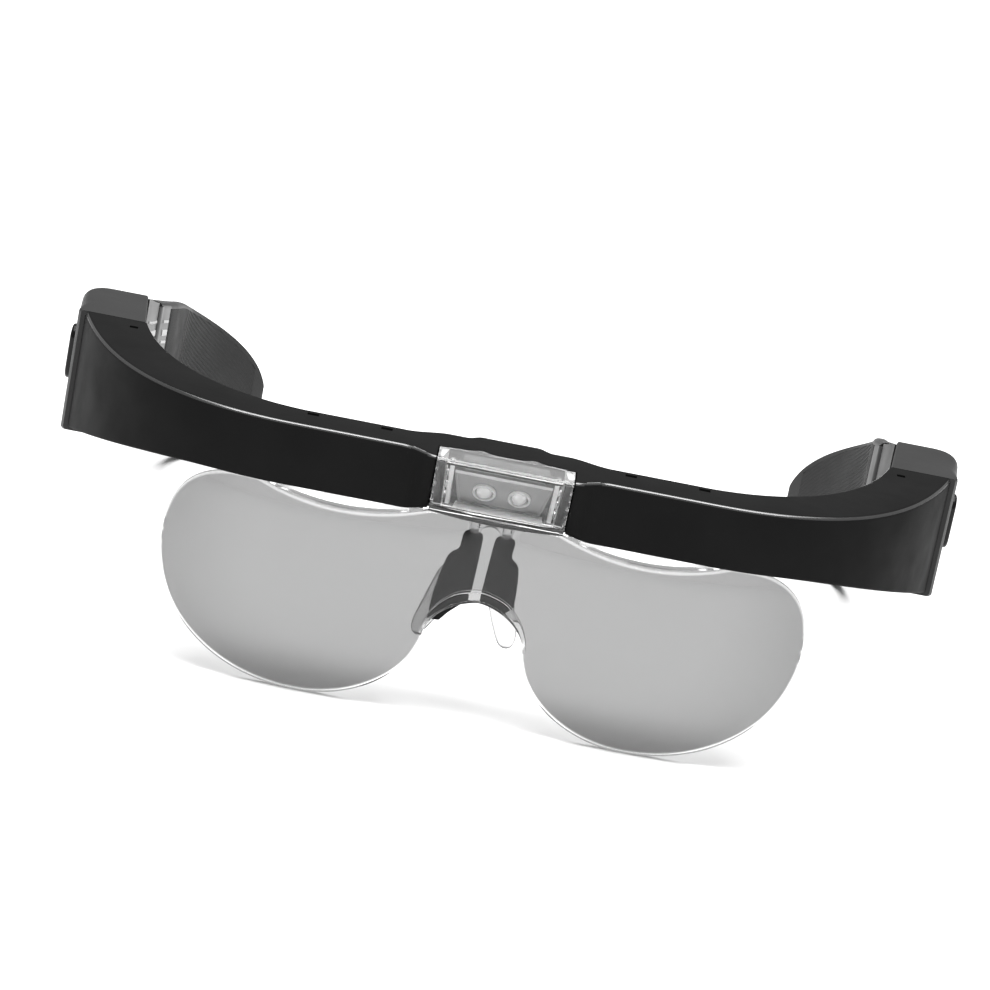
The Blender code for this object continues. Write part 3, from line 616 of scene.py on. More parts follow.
def station_matrix(side):
    """Middle point and turn of the bar at its port station, and the height of its underside there."""
    front = bezier(FRONT_CURVE, PORT_STATION)
    rear = bezier(REAR_CURVE, PORT_STATION)
    middle = (front + rear) / 2
    along = math.atan2(front.x - rear.x, rear.y - front.y)
    spot = Matrix.Translation((side * middle.x, middle.y, 0)) @ Matrix.Rotation(side * along, 4, "Z")
    return spot, underside(front.y)


def window_edge(margin=0.0):
    """The wavy rear edge of the window's top, over a straight front edge."""
    points = []
    for x in spread(-WINDOW_HALF - margin, WINDOW_HALF + margin, 50):
        away = abs(x)
        rise = 1.0 + 1.3 * math.exp(-((away - 4.9) / 1.5) ** 2) - 0.8 * ease(away, 8.5, WINDOW_HALF)
        points.append((x, rise + margin))
    return points + [(WINDOW_HALF + margin, -5.0), (-WINDOW_HALF - margin, -5.0)]


def make_front_frame():
    bar = bar_loft("brow_bar", shell_profile)
    lift = Matrix.Translation((0, 0, -0.5))
    cutters = [
        box("lamp_notch", (-NOTCH_HALF, -9.0, -14.0), (NOTCH_HALF, WINDOW_FOOT + GAP - 1.0, 1.0)),
        box("lamp_foot_notch", (-NOTCH_HALF, -9.0, -14.0), (NOTCH_HALF, WINDOW_FOOT + GAP, -3.0)),
        plate("lamp_wavy_notch", window_edge(GAP), 4.0, lift),
        box("bracket_slot", (-3.3, 5.2, -14.0), (3.3, 7.6, -9.0)),
    ]
    for side in (-1, 1):
        for x, y, wide in SLOT_SPOTS:
            cutters.append(stub("snap_slot", side * x, y, wide / 2, SLOT_DEEP / 2, -2.5, 1.0))
        for x, y in HOOKS:
            cutters.append(stub("hook_slot", side * x, y, 1.5, 0.95, -13.5, -9.5))
        spot, low = station_matrix(side)
        half = 4.0 if side > 0 else 3.2
        cutters.append(box("underside_port", (-half, -1.6, low - 2), (half, 1.6, low + 3), spot))
    cut(bar, *cutters)
    dress(bar, FINISH["bar"], FINISH["bar_highlight_edge"])
    # The rounded top-front edge takes that finish: its paler colour is a painted highlight.
    paint(bar, 1, lambda spot, normal: 0.42 < normal.z < 0.84 and spot.z > -1.1 * TOP_ROUND)
    show(bar, "frame", "bar_black", (FINISH["bar"], FINISH["bar_highlight_edge"]), "front_frame")


def make_rear_cover():
    cover = bar_loft("bar_back_cover", cover_profile)
    for side in (-1, 1):
        for x, y, _ in SLOT_SPOTS[:2]:
            tab = box("cover_tab", (side * x - 0.7, y - 0.4, -3.2), (side * x + 0.7, BAR_REAR - 0.7, -1.8))
            nub = stub("cover_nub", side * x, y, 0.7, 0.4, -2.4, -0.4)
            join(cover, tab, nub)
    show(cover, "frame", "bar_black", FINISH["bar"], "rear_cover")


# --- lamp

def window_section(rear):
    """Outline of the window's end wall in the y-z plane."""
    return [(rear, 0.0), (WINDOW_FRONT + 0.6, 0.0), (WINDOW_FRONT, -0.6), (-0.6, -11.6), (-0.2, -12.0),
            (WINDOW_FOOT, -12.0), (WINDOW_FOOT, -10.0)]


def prism_along_x(name, outline, low, high):
    return loft(name, [[(x, y, z) for y, z in outline] for x in (low, high)])


def window_dimples():
    """Balls that leave round hollows in the outside of the window's ends."""
    dimples = []
    for side in (-1, 1):
        for down, size in DIMPLES:
            shape = bmesh.new()
            spot = Matrix.Translation((side * WINDOW_HALF, WINDOW_FRONT + 2.4 + 0.6 * down, -down))
            bmesh.ops.create_uvsphere(shape, u_segments=20, v_segments=12, radius=size, matrix=spot)
            dimples.append(build("window_dimple", shape))
    return dimples


def make_window():
    """Clear lamp housing: wavy top plate, sloping front, bowed rail, and bossed and dimpled ends."""
    window = prism_along_x("lamp_window", window_section(0.2), -WINDOW_HALF, WINDOW_HALF)
    hollow = [(3.0, -WINDOW_WALL), (WINDOW_FRONT + 1.6, -WINDOW_WALL), (0.1, -10.9), (3.0, -10.9)]
    cut(window, prism_along_x("window_hollow", hollow, 2.0 - WINDOW_HALF, WINDOW_HALF - 2.0))
    top = plate("window_top", window_edge(), WINDOW_WALL, Matrix.Translation((0, 0, -WINDOW_WALL / 2)))
    bow = [(-WINDOW_HALF, 0.0)] + [(x, -1.0 - 2.1 * (1 - (x / WINDOW_HALF) ** 2))
                                   for x in spread(-WINDOW_HALF, WINDOW_HALF, 30)] + [(WINDOW_HALF, 0.0)]
    rail = plate("window_rail", bow, 1.4, Matrix.Translation((0, 0, -11.3)))
    bosses = []
    for side in (-1, 1):
        low, high = sides_of_x(side, 10.0, 11.0)
        for z in BOSS_HEIGHTS:
            y = WINDOW_FRONT + 2.9 - 0.58 * (z + 1.1)
            bosses.append(box("window_boss", (low, y - 0.5, z - 0.55), (high, y + 0.7, z + 0.55)))
    join(window, top, rail, *bosses)
    # Its rounded edges take the whitish frosted finish, a painted highlight along them.
    soften(window, 0.2, edge=True)
    cut(window, *window_dimples())
    paint(window, 1, lambda spot, normal: abs(normal.x) > 0.98 and 10.0 < abs(spot.x) < 10.7)
    paint(window, 2, lambda spot, normal: normal.z > 0.95 and spot.z > -0.1)
    show(window, "frame", "clear_plastic", (FINISH["window"], FINISH["frost_and_highlight"], FINISH["haze"]), "led_window")
    make_light_pipes()


def make_light_pipes():
    """Frosted posts down both ends of the lamp and a frosted ledge under the reflector."""
    post = [(-4.9, -1.2), (-3.7, -1.2), (0.9, -9.6), (0.1, -10.2)]
    for side, word in SIDES:
        low, high = sides_of_x(side, PIPE_INNER, PIPE_OUTER)
        pipe = soften(prism_along_x(f"{word}_light_pipe", post, low, high), 0.15)
        show(pipe, "frame", "clear_plastic", FINISH["frost_and_highlight"])
    ledge = [(0.35, -10.75), (2.3, -10.35), (2.3, -10.1), (0.35, -10.45)]
    shelf = soften(prism_along_x("lamp_ledge", ledge, -LEDGE_HALF, LEDGE_HALF), 0.08)
    show(shelf, "frame", "clear_plastic", FINISH["frost_and_highlight"])


def lamp_matrix():
    """Lamp axes: u across, v up the leaning panel, w out of its face."""
    face = Matrix.Rotation(LAMP_LEAN, 4, "X") @ Matrix.Rotation(math.radians(90), 4, "X")
    return Matrix.Translation(LAMP_CENTRE) @ face


def make_reflector():
    """Grey panel, wider at its top, with a raised border and a hole for each LED."""
    spot = lamp_matrix()
    corners = [(9.0, 4.0), (-9.0, 4.0), (-7.9, -4.0), (7.9, -4.0)]
    panel = plate("lamp_reflector", corners, 0.8, spot)
    inset = [(u * 0.955, v * 0.9) for u, v in corners]
    cut(panel, plate("reflector_dish", inset, 0.5, spot @ Matrix.Translation((0, 0, 0.45))))
    hole = LED_RADIUS + GAP
    for u in (-LED_SPREAD, LED_SPREAD):
        cut(panel, revolve("led_hole", [(hole, -3.0), (hole, 3.0)], spot @ Matrix.Translation((u, 0, 0))))
    show(panel, "frame", "reflector_grey", FINISH["reflector"], "reflector_panel")


def make_bezel(name, centre):
    """Pale ring that stands round an LED."""
    inner = LED_RADIUS + GAP - 0.08
    section = [(inner + 0.42, -0.2), (inner + 0.42, 0.42), (inner + 0.3, 0.52), (inner + 0.1, 0.52),
               (inner, 0.42), (inner, -0.2)]
    rings = [[centre @ Vector((r * math.cos(a), r * math.sin(a), w)) for r, w in section]
             for a in turns(BEZEL_SIDES)]
    show(loft(name, rings, closed=True), "frame", "clear_plastic", FINISH["frost_and_highlight"])


def make_leds():
    """Each LED has a clear dome on a flange, and a bright cup inside its foot."""
    for name, u in (("left", -LED_SPREAD), ("right", LED_SPREAD)):
        spot = lamp_matrix() @ Matrix.Translation((u, 0, -1.6))
        flange = [(0.01, 0.0), (LED_FLANGE - 0.1, 0.0), (LED_FLANGE, 0.1), (LED_FLANGE, 0.7),
                  (LED_FLANGE - 0.1, 0.8), (LED_RADIUS, 0.8)]
        dome = [(LED_RADIUS * math.cos(a) + 0.001, 1.6 + LED_RADIUS * math.sin(a))
                for a in [math.radians(d) for d in range(0, 91, 9)]]
        led = revolve(f"led_dome_{name}", flange + dome, spot)
        cup = [(0.05, 1.0), (0.45, 1.05), (1.15, 1.7), (1.25, 1.7), (0.7, 0.9), (0.05, 0.85)]
        room = [(0.05, 0.8), (0.75, 0.85), (1.3, 1.65), (1.3, 1.8), (0.05, 1.15)]
        cut(led, revolve("cup_room", room, spot))
        show(led, "frame", "clear_plastic", FINISH["led"], f"led_{name}")
        show(revolve(f"led_cup_{name}", cup, spot), "frame", "steel", FINISH["steel"])
        make_bezel(f"led_bezel_{name}", lamp_matrix() @ Matrix.Translation((u, 0, 0.2)))


# --- lens

def lens_top(x):
    """Dips in the middle of each lobe, then rounds down to its outer end."""
    away = abs(x)
    corner = 45.0
    if away <= corner:
        return LENS_TOP - TOP_DIP * max(1 - ((away - DIP_X) / DIP_HALF) ** 2, 0.0)
    u = min((away - corner) / (LOBE_WIDE - corner), 1.0)
    return LOBE_MID_Z + (LENS_TOP - LOBE_MID_Z) * (1 - u**2.5) ** 0.4


def lens_bottom(x):
    """Nose arch, then the lobe's inner and outer quarter, as three elliptical stretches."""
    away = abs(x)
    if away < ARCH_HALF:
        return ARCH_FOOT + ARCH_RISE * math.sqrt(1 - (away / (ARCH_HALF + 0.3)) ** 2)
    if away < LOBE_X:
        u = (LOBE_X - away) / (LOBE_X - ARCH_HALF + 0.1)
        return INNER_MID_Z - (TOP_HEIGHT + INNER_MID_Z) * math.sqrt(max(1 - u * u, 0.0))
    u = min((away - LOBE_X) / (LOBE_WIDE - LOBE_X), 1.0)
    return LOBE_MID_Z - (TOP_HEIGHT + LOBE_MID_Z) * (1 - u**2.1) ** (1 / 2.1)


def lens_swell(x, z):
    """1 in the middle of a lobe and 0 at its rim."""
    r = ((abs(x) - SWELL_X) / SWELL_X) ** 2 + ((z - SWELL_Z) / SWELL_TALL) ** 2
    return max(1 - r, 0.0)


def lens_front(x, z):
    return LENS_EDGE_Y - LENS_BULGE * lens_swell(x, z) + LENS_WRAP * max(abs(x) - SWELL_X, 0.0) ** 2


def lens_rows(top, low):
    """Heights across the lens, close together near both edges."""
    near = [LENS_RIM, LENS_RIM + 0.2, LENS_RIM + 0.45, LENS_RIM + 0.8]
    if top - low < 4 * near[-1]:
        return spread(top - LENS_RIM, low + LENS_RIM, 45)
    return [top - d for d in near] + spread(top - 1.8, low + 1.8, 37) + [low + d for d in reversed(near)]


def lens_ring(x):
    top = lens_top(x)
    low = lens_bottom(x)
    if top - low < 2 * LENS_RIM + 0.1:
        middle = (top + low) / 2
        top = middle + LENS_RIM + 0.05
        low = middle - LENS_RIM - 0.05
    rows = lens_rows(top, low)
    front = [(lens_front(x, z), z) for z in rows]
    rear = [(lens_front(x, z) + LENS_EDGE + LENS_THICKER * lens_swell(x, z), z) for z in reversed(rows)]
    edge = []
    for start, end, z, way in ((front[-1], rear[0], low, -1), (rear[-1], front[0], top, 1)):
        step = LENS_RIM if end[0] > start[0] else -LENS_RIM
        edge.append([(start[0] + 0.13 * step, z - way * 0.5 * LENS_RIM),
                     (start[0] + 0.5 * step, z - way * 0.13 * LENS_RIM), (start[0] + step, z),
                     (end[0] - step, z), (end[0] - 0.5 * step, z - way * 0.13 * LENS_RIM),
                     (end[0] - 0.13 * step, z - way * 0.5 * LENS_RIM)])
    return [(x, y, z) for y, z in front + edge[0] + rear + edge[1]]


def lens_stations():
    inner = [ARCH_HALF * math.sin(math.radians(a)) for a in spread(0, 90, 16)]
    quarter = [LOBE_X - (LOBE_X - ARCH_HALF) * math.cos(math.radians(a)) for a in spread(3, 90, 30)]
    outer = [LOBE_X + (LOBE_WIDE - LOBE_X) * math.sin(math.radians(a)) for a in spread(1.5, 90, 70)]
    half = inner + quarter + outer
    return [-x for x in reversed(half[1:])] + half


def lens_outline():
    xs = spread(-LOBE_WIDE, LOBE_WIDE, 1200)
    ends = [(side * LOBE_WIDE, LOBE_MID_Z) for side in (-1, 1)]
    return np.array([(x, lens_top(x)) for x in xs] + [(x, lens_bottom(x)) for x in xs] + ends)


def mark_lens(lens):
    """Store on the lens's points where it is left untinted as a painted edge highlight, and where its tint
    is darker as painted shade near the bottom.
    """
    points = np.array([unplace(vert.co) for vert in lens.data.vertices])
    outline = lens_outline()
    gap = np.array([np.min(np.hypot(outline[:, 0] - x, outline[:, 1] - z)) for x, _, z in points])
    low = np.clip((-41.0 - points[:, 2]) / 8.0, 0, 1)
    width = 0.45 + 0.3 * low
    # Painted highlight: a band along the outline, wider low down, left untinted.
    rim = np.clip((width - gap) / 0.3, 0, 1)
    away = np.abs(points[:, 0])
    band = arch_width(np.degrees(np.arcsin(np.clip(away / (ARCH_HALF + 0.3), 0, 1))))
    arch = (away < ARCH_HALF) & (points[:, 2] < LENS_TOP - 8) & (gap < band + 0.05)
    rim[arch] = ARCH_HIGHLIGHT
    depth = np.array([y - lens_front(x, z) for x, y, z in points])
    thick = np.array([LENS_EDGE + LENS_THICKER * lens_swell(x, z) for x, _, z in points])
    shelf = ((depth < -0.15) | (depth > thick + 0.15)) & (points[:, 2] > LENS_TOP - TOP_DIP - 1.0)
    # The shelf and the top edge are left untinted too, as painted highlight.
    rim[shelf | (points[:, 2] > LENS_TOP - 0.1)] = 1.0
    # Painted shade: the tint darkens just above the bottom edge, most under the middle of each lobe.
    deep = np.clip((3.4 - gap) / 2.6, 0, 1) ** 1.5 * low * np.clip(2.2 - np.abs(away - 29.0) / 11.0, 0, 1)
    for word, values in (("rim", rim), ("deep", deep)):
        layer = lens.data.attributes.new(word, "FLOAT", "POINT")
        layer.data.foreach_set("value", values.astype(np.float32))


def arch_width(degrees):
    """Width of the arch's border, widest at its top."""
    return ARCH_BAND * (1 - 0.7 * np.clip((degrees - 25) / 50, 0, 1))


def make_arch_band():
    """Raised border round the nose arch, thicker than the lens it stands on."""
    rings = []
    for degrees in spread(-82, 82, 48):
        a = math.radians(degrees)
        reach = ARCH_HALF + 0.3
        centre = Vector((reach * math.sin(a), ARCH_FOOT + ARCH_RISE * math.cos(a)))
        way = Vector((math.sin(a) / reach, math.cos(a) / ARCH_RISE)).normalized()
        wide = float(arch_width(abs(degrees)))
        front = lens_front(centre.x, centre.y) - 0.4
        section = []
        for corner, start in (((wide - 0.25, 0.25), 270), ((wide - 0.25, 2.4), 0), ((0.2, 2.4), 90),
                              ((0.2, 0.25), 180)):
            section += arc(corner, 0.25, start, start + 90, 4)
        rings.append([(centre.x + way.x * d, front + deep, centre.y + way.y * d) for d, deep in section])
    return loft("arch_band", rings, 40)


def lens_shelf(side):
    """Shelf that fills the dip in a lobe's top edge, with three rooms in it and two hooks on it."""
    near, far = SHELF_Y
    rings = []
    for x in spread(DIP_X - DIP_HALF + 1.5, DIP_X + DIP_HALF - 1.5, 24):
        foot = lens_top(x) - 0.5
        section = [(near, foot), (far, foot), (far, LENS_TOP), (near, LENS_TOP)]
        rings.append([(side * x, y, z) for y, z in section])
    shelf = loft("lens_shelf", rings)
    for x in SHELF_ROOMS:
        low, high = sides_of_x(side, x - 2.3, x + 2.3)
        cut(shelf, box("shelf_room", (low, near + 1.2, LENS_TOP - 1.4), (high, far - 1.0, LENS_TOP + 1.0)))
    join(shelf, *[stub("lens_hook", side * x, y, 1.2, 0.6, -13.4, -8.4) for x, y in HOOKS])
    return soften(shelf, 0.15)


def make_lens():
    lens = loft("magnifier_lens", [lens_ring(x) for x in lens_stations()], 50)
    shelves = [lens_shelf(side) for side in (-1, 1)]
    join(lens, make_arch_band(), *shelves)
    crease_edges(lens, 40)
    mark_lens(lens)
    show(lens, "lens", "lens_clear", FINISH["lens"], "lens_panel")


# --- nose pads

def make_bracket():
    """Clear saddle with an arch between the two prongs that hold the pads."""
    leg = PRONG_X + PRONG_RADIUS
    outline = [(-5.1, 0.8), (-5.1, -0.5), (-leg - 0.5, -1.3), (-leg, -3.1), (PRONG_RADIUS - PRONG_X, -3.3)]
    outline += [(-x, z) for x, z in arc((0, -3.7), PRONG_X - PRONG_RADIUS, 12, 168, 18)]
    outline += [(PRONG_X - PRONG_RADIUS, -3.3), (leg, -3.1), (leg + 0.5, -1.3), (5.1, -0.5), (5.1, 0.8)]
    turn = Matrix.Translation((BRACKET_X, 6.5, -13.2)) @ Matrix.Rotation(math.radians(90), 4, "X")
    saddle = plate("pad_bracket", outline, 2.0, turn)
    join(saddle, box("bracket_tenon", (-3.0, 5.5, -13.0), (3.0, 7.3, -9.9)))
    for side in (-1, 1):
        x = BRACKET_X + side * PRONG_X
        profile = [(1.4, 0.0), (1.25, -1.4), (1.2, -2.9), (PRONG_RADIUS, -3.3), (PRONG_RADIUS, -5.7),
                   (PRONG_RADIUS - 0.2, -5.9)]
        join(saddle, revolve("prong", profile, Matrix.Translation((x, PRONG_Y, -13.3))))
    # Its rounded edges take the whitish frosted finish, a painted highlight along them.
    soften(saddle, 0.15, edge=True)
    show(saddle, "frame", "clear_plastic", (FINISH["window"], FINISH["frost_and_highlight"]), "nose_bracket")


def pad_ring(side, z, out, y, wide, thick, steps=32):
    """An oval ring of a nose pad at one height, out being its distance outboard of the prong."""
    shift = BRACKET_X - PAD_SPLAY * max(PAD_TOP - z, 0.0)
    middle = side * (PRONG_X + out) + shift
    return [(middle + side * wide * math.cos(a), y + thick * math.sin(a), z) for a in turns(steps)]


def between(rows, steps):
    """More rows on a smooth curve through the given ones."""
    fine = []
    for i in range(len(rows) - 1):
        ends = [rows[max(i - 1, 0)], rows[i], rows[i + 1], rows[min(i + 2, len(rows) - 1)]]
        for k in range(steps):
            t = k / steps
            fine.append([0.5 * (2 * b + (c - a) * t + (2 * a - 5 * b + 4 * c - d) * t * t
                                + (3 * b - a - 3 * c + d) * t**3) for a, b, c, d in zip(*ends)])
    return fine + [list(rows[-1])]


def make_nose_pads():
    """Each row is height, distance out from the prong, depth, half width and half thickness."""
    blade = [(-16.6, 0.0, 6.4, 1.3, 1.3), (-17.0, 0.05, 6.4, 1.8, 1.6), (-17.8, 0.1, 6.4, 2.0, 1.7),
             (-20.2, 0.15, 6.5, 2.05, 1.7), (-21.4, 0.75, 6.7, 2.65, 1.5), (-22.6, 1.05, 7.0, 2.95, 1.35),
             (-26.2, 1.35, 7.8, 3.25, 1.1), (-29.4, 1.5, 8.5, 3.4, 1.0)]
    ends = {-1: [(-31.5, 1.9, 8.9, 3.1, 0.95), (-34.0, 2.9, 9.5, 2.0, 0.85), (-36.0, 3.3, 10.0, 1.1, 0.5)],
            1: [(-30.5, 1.6, 8.7, 3.2, 0.95), (-31.1, 2.0, 8.9, 2.5, 0.8), (-31.4, 2.2, 9.0, 1.6, 0.5)]}
    cushion = [(-24.5, 1.3, 10.2, 1.0, 0.5), (-25.2, 1.4, 10.4, 1.9, 0.9), (-26.5, 1.6, 10.7, 2.5, 1.15),
               (-29.5, 2.1, 11.4, 2.8, 1.2), (-33.5, 3.2, 12.2, 2.6, 1.2), (-37.2, 4.4, 12.9, 2.2, 1.1),
               (-39.4, 4.9, 13.3, 1.5, 0.9), (-40.2, 5.0, 13.4, 0.7, 0.5)]
    further_out = {-1: LEFT_PAD_OUT, 1: 0.0}
    for side, word in SIDES:
        x = BRACKET_X + side * PRONG_X
        rows = between(blade + ends[side], 5)
        arm = loft(f"{word}_pad_arm", [pad_ring(side, *row) for row in rows], 50)
        cut(arm, cylinder("socket", (x, PRONG_Y, -19.6), (x, PRONG_Y, -13.6), PRONG_RADIUS + GAP))
        show(arm, f"{word}_pad", "grip_black", FINISH["pad_arm"], f"{word}_nose_pad_arm")
        rings = [pad_ring(side, z, out + further_out[side], *rest) for z, out, *rest in between(cushion, 5)]
        pad = loft(f"{word}_pad_cushion", rings, 60)
        show(pad, f"{word}_pad", "silicone", FINISH["silicone"], f"{word}_nose_pad")


# --- arms

def arm_inner(y):
    return across(ARM_INNER, y)


def arm_thick(y):
    return 3.2 + 5.4 * (1 - ease(y, ARM_START - 6, 100.0))


def tip_curl(y):
    """0 along the arm, growing to 1 at its end like a quarter ellipse."""
    u = min(max((y - ARM_END) / TIP_LENGTH + 1, 0.0), 1.0)
    return 1 - math.sqrt(1 - u * u)


def arm_top(y):
    return min(across(ARM_TOP, y), -0.3)


def arm_low(y):
    """Sloping bottom edge that levels off on the floor, then curls up into the tip."""
    level = ARM_END - TIP_LENGTH
    bend = 2 * (ARM_LOW_START + ARM_LOW_SLOPE * BLOCK_REAR + TOP_HEIGHT) / ARM_LOW_SLOPE - level
    if y < bend:
        return ARM_LOW_START - (y - BLOCK_REAR) * ARM_LOW_SLOPE
    settled = ARM_LOW_SLOPE * max(level - y, 0.0) ** 2 / (2 * (level - bend))
    return -TOP_HEIGHT + settled + (arm_top(ARM_END) - TIP_TALL + TOP_HEIGHT) * tip_curl(y)


def arm_ring(side, y, inner, outer, top, low, soft, steps=5):
    """A section of the arm across y, with its four corners rounded by soft."""
    soft = min(soft, (top - low) / 2.2, (outer - inner) / 2.2)
    corners = [((outer - soft, top - soft), 0), ((inner + soft, top - soft), 90),
               ((inner + soft, low + soft), 180), ((outer - soft, low + soft), 270)]
    ring = []
    for centre, start in corners:
        ring += arc(centre, soft, start, start + 90, steps)
    return [(side * x, y, z) for x, z in ring]


def swing(side, point):
    """Turn a point of the left arm about its pin to where the arm stands at rest."""
    if side > 0:
        return Vector(point)
    pin = Vector((side * PIN.x, PIN.y, 0))
    return pin + Matrix.Rotation(-LEFT_ARM_TURN, 3, "Z") @ (Vector(point) - pin)


def swung(side, rings):
    return [[swing(side, point) for point in ring] for ring in rings]


def panel_inset(y):
    return 1.1 + 0.9 * ease(y, 133.0, 148.0)


def panel_room(side):
    """The recess that the ribbed panel sits in."""
    rings = []
    for y in spread(PANEL_FRONT - PANEL_GAP, PANEL_BACK + PANEL_GAP, 60):
        inset = panel_inset(y) - PANEL_GAP
        face = arm_inner(y)
        top = arm_top(y) - inset
        low = arm_low(y) + inset
        rings.append(arm_ring(side, y, face - 1.0, face + 1.5, top, low, 0.1, 3))
    return loft("panel_room", swung(side, rings))


def rib_rows():
    """(distance below the panel's top edge, depth of the groove) across the ribs."""
    rows = []
    crest = 0.3
    while crest < 72.0:
        rows += [(crest, 0.0), (crest + RIB_PITCH * 0.45, 0.0), (crest + RIB_PITCH * 0.72, RIB_DEEP)]
        crest += RIB_PITCH
    return rows


def make_panel(side, word):
    """Ribbed inner panel: its ribs fall more steeply than the arm's top edge and fade towards the tip."""
    rows = rib_rows()
    rings = []
    for y in spread(PANEL_FRONT, PANEL_FRONT + 2.4, 6) + spread(PANEL_FRONT + 3.0, PANEL_BACK, 84):
        inset = panel_inset(y)
        face = arm_inner(y)
        top = arm_top(y) - inset
        tall = top - arm_low(y) - inset
        lift = RIB_RISE * math.exp((PANEL_FRONT - y) / RIB_SETTLE) + RIB_FALL * (PANEL_BACK - y)
        ends = ease(y, PANEL_FRONT, PANEL_FRONT + 2.2) * (1 - 0.8 * ease(y, 112.0, 142.0))
        groove = 0.9 * (1 - ease(y, PANEL_FRONT, PANEL_FRONT + 1.8))
        front = [(face + deep * ends + groove, top - min(max(drop - lift, 0.0), tall))
                 for drop, deep in rows]
        back = [(face + 1.1, top - tall), (face + 1.1, top)]
        rings.append([(side * x, y, z) for x, z in front + back])
    panel = loft(f"{word}_ribbed_panel", swung(side, rings), 25)
    show(panel, f"{word}_arm", "grip_black", FINISH["grip"], f"{word}_arm_grip")


def arm_finishes(side):
    """Arm plastic, and on the left only a glossier, paler copy for the smooth part behind the block: the
    paler colour is a painted sheen.
    """
    return FINISH["arm"], FINISH["smooth_sheen"] if side < 0 else FINISH["arm"]


def on_pin(name, side, low, high, radius):
    """An upright cylinder on the axis of a hinge pin."""
    return cylinder(name, (side * PIN.x, PIN.y, low), (side * PIN.x, PIN.y, high), radius)


def hinge_heights():
    top = arm_top(PIN.y) - 0.8
    low = arm_low(PIN.y) + 0.8
    return top, low, (top - low) / 3


def make_arm(side, word):
    straight = spread(ARM_START, ARM_END - TIP_LENGTH, 44)
    tip = [ARM_END - TIP_LENGTH * (1 - math.sin(math.radians(a))) for a in spread(4, 88, 21)]
    rings = []
    for y in straight + tip:
        inner = arm_inner(y)
        rings.append(arm_ring(side, y, inner, inner + arm_thick(y), arm_top(y), arm_low(y), ARM_ROUND))
    arm = loft(f"{word}_temple", swung(side, rings), 35)
    reach = LUG_THICK + GAP
    room = [[(side * (arm_inner(y) + dx), y, z) for dx, z in ((-3, 2), (reach, 2), (reach, -45), (-3, -45))]
            for y in (60.0, 65.0, 70.0, PIN.y)]
    top, low, third = hinge_heights()
    cut(arm, panel_room(side), loft("lug_room", swung(side, room)))
    join(arm, on_pin("arm_barrel", side, low, top, BARREL))
    cut(arm, on_pin("knuckle_room", side, low + third - GAP, top - third + GAP, BARREL + GAP),
        on_pin("arm_bore", side, low - 3, top + 3, PIN_RADIUS + GAP))
    crease_edges(arm, 35)
    dress(arm, *arm_finishes(side))
    # Smooth inner face behind the block: on the left, the paler copy paints a sheen there.
    paint(arm, 1, lambda spot, normal: spot.y < PANEL_FRONT + 1 and normal.x * side < -0.75)
    show(arm, f"{word}_arm", "arm_black", arm_finishes(side), f"{word}_temple_arm")
    make_panel(side, word)


def make_stripes():
    """Plain raised stripes across the smooth part of the left hinge."""
    for number, (drop, tall) in enumerate(STRIPES, 1):
        for place_word, body, start, end, lift in (("lug", "frame", 66.2, 73.9, LUG_INSET),
                                                   ("arm", "left_arm", 78.3, 82.4, 0.0)):
            rings = []
            for y in spread(start, end, 10):
                top = arm_top(y) - drop + 1.1 * math.sin((y - 66.0) * 0.095)
                face = arm_inner(y) + lift - 0.12
                rings.append(arm_ring(-1, y, face, face + STRIPE_THICK, top, top - tall, 0.1, 3))
            if body == "left_arm":
                rings = swung(-1, rings)
            stripe = loft(f"hinge_stripe_{place_word}_{number}", rings, 40)
            show(stripe, body, "reflector_grey", FINISH["stripe"])


# --- end blocks

def block_side(y):
    """The block's outer side, which flares out towards the rear."""
    front = SEAM_Y + GAP
    return BLOCK_OUTER + BLOCK_FLARE * (y - front) / (BLOCK_REAR - front)


def block_body(side, word):
    """Block lofted front to rear: its outer top edge gets rounder and its rear curls in."""
    front = SEAM_Y + GAP
    turn = BLOCK_REAR - BLOCK_CORNER
    curled = [turn + BLOCK_CORNER * math.sin(math.radians(a)) for a in spread(8, 90, 12)]
    rings = []
    for y in [front, front + 0.5] + spread(front + BLOCK_NOSE, turn, 10) + curled:
        curl = BLOCK_CORNER - math.sqrt(max(BLOCK_CORNER**2 - max(y - turn, 0.0)**2, 0.0))
        nose = BLOCK_EDGE * (1 - ease(y, front, front + BLOCK_NOSE))
        soft = BLOCK_SHARP + (BLOCK_ROUND - BLOCK_SHARP) * ease(y, front, front + 10.0)
        outer = block_side(y) - curl - nose
        inner = BLOCK_INNER + BLOCK_INNER_FLARE * (y - front) / (BLOCK_REAR - front)
        top = -0.05 * curl
        low = underside(y) - BLOCK_DROP + 0.15 * curl
        section = [(inner, low), (inner, top - 0.3), (inner + 0.3, top)]
        section += [(x, z) for x, z in reversed(arc((outer - soft, top - soft), soft, 0, 90, 8))]
        section += [(outer, low + BLOCK_EDGE), (outer - BLOCK_EDGE, low)]
        rings.append([(side * x, y, z) for x, z in section])
    return loft(f"{word}_corner_block", rings, 40)


def side_matrix(side):
    """Axes on the block's outer side: u along y, v up, w outwards, at the button's middle."""
    turn = Matrix(((0, 0, side, 0), (side, 0, 0, 0), (0, 1, 0, 0), (0, 0, 0, 1)))
    return Matrix.Translation((side * block_side(BUTTON_Y), BUTTON_Y, BUTTON_Z)) @ turn


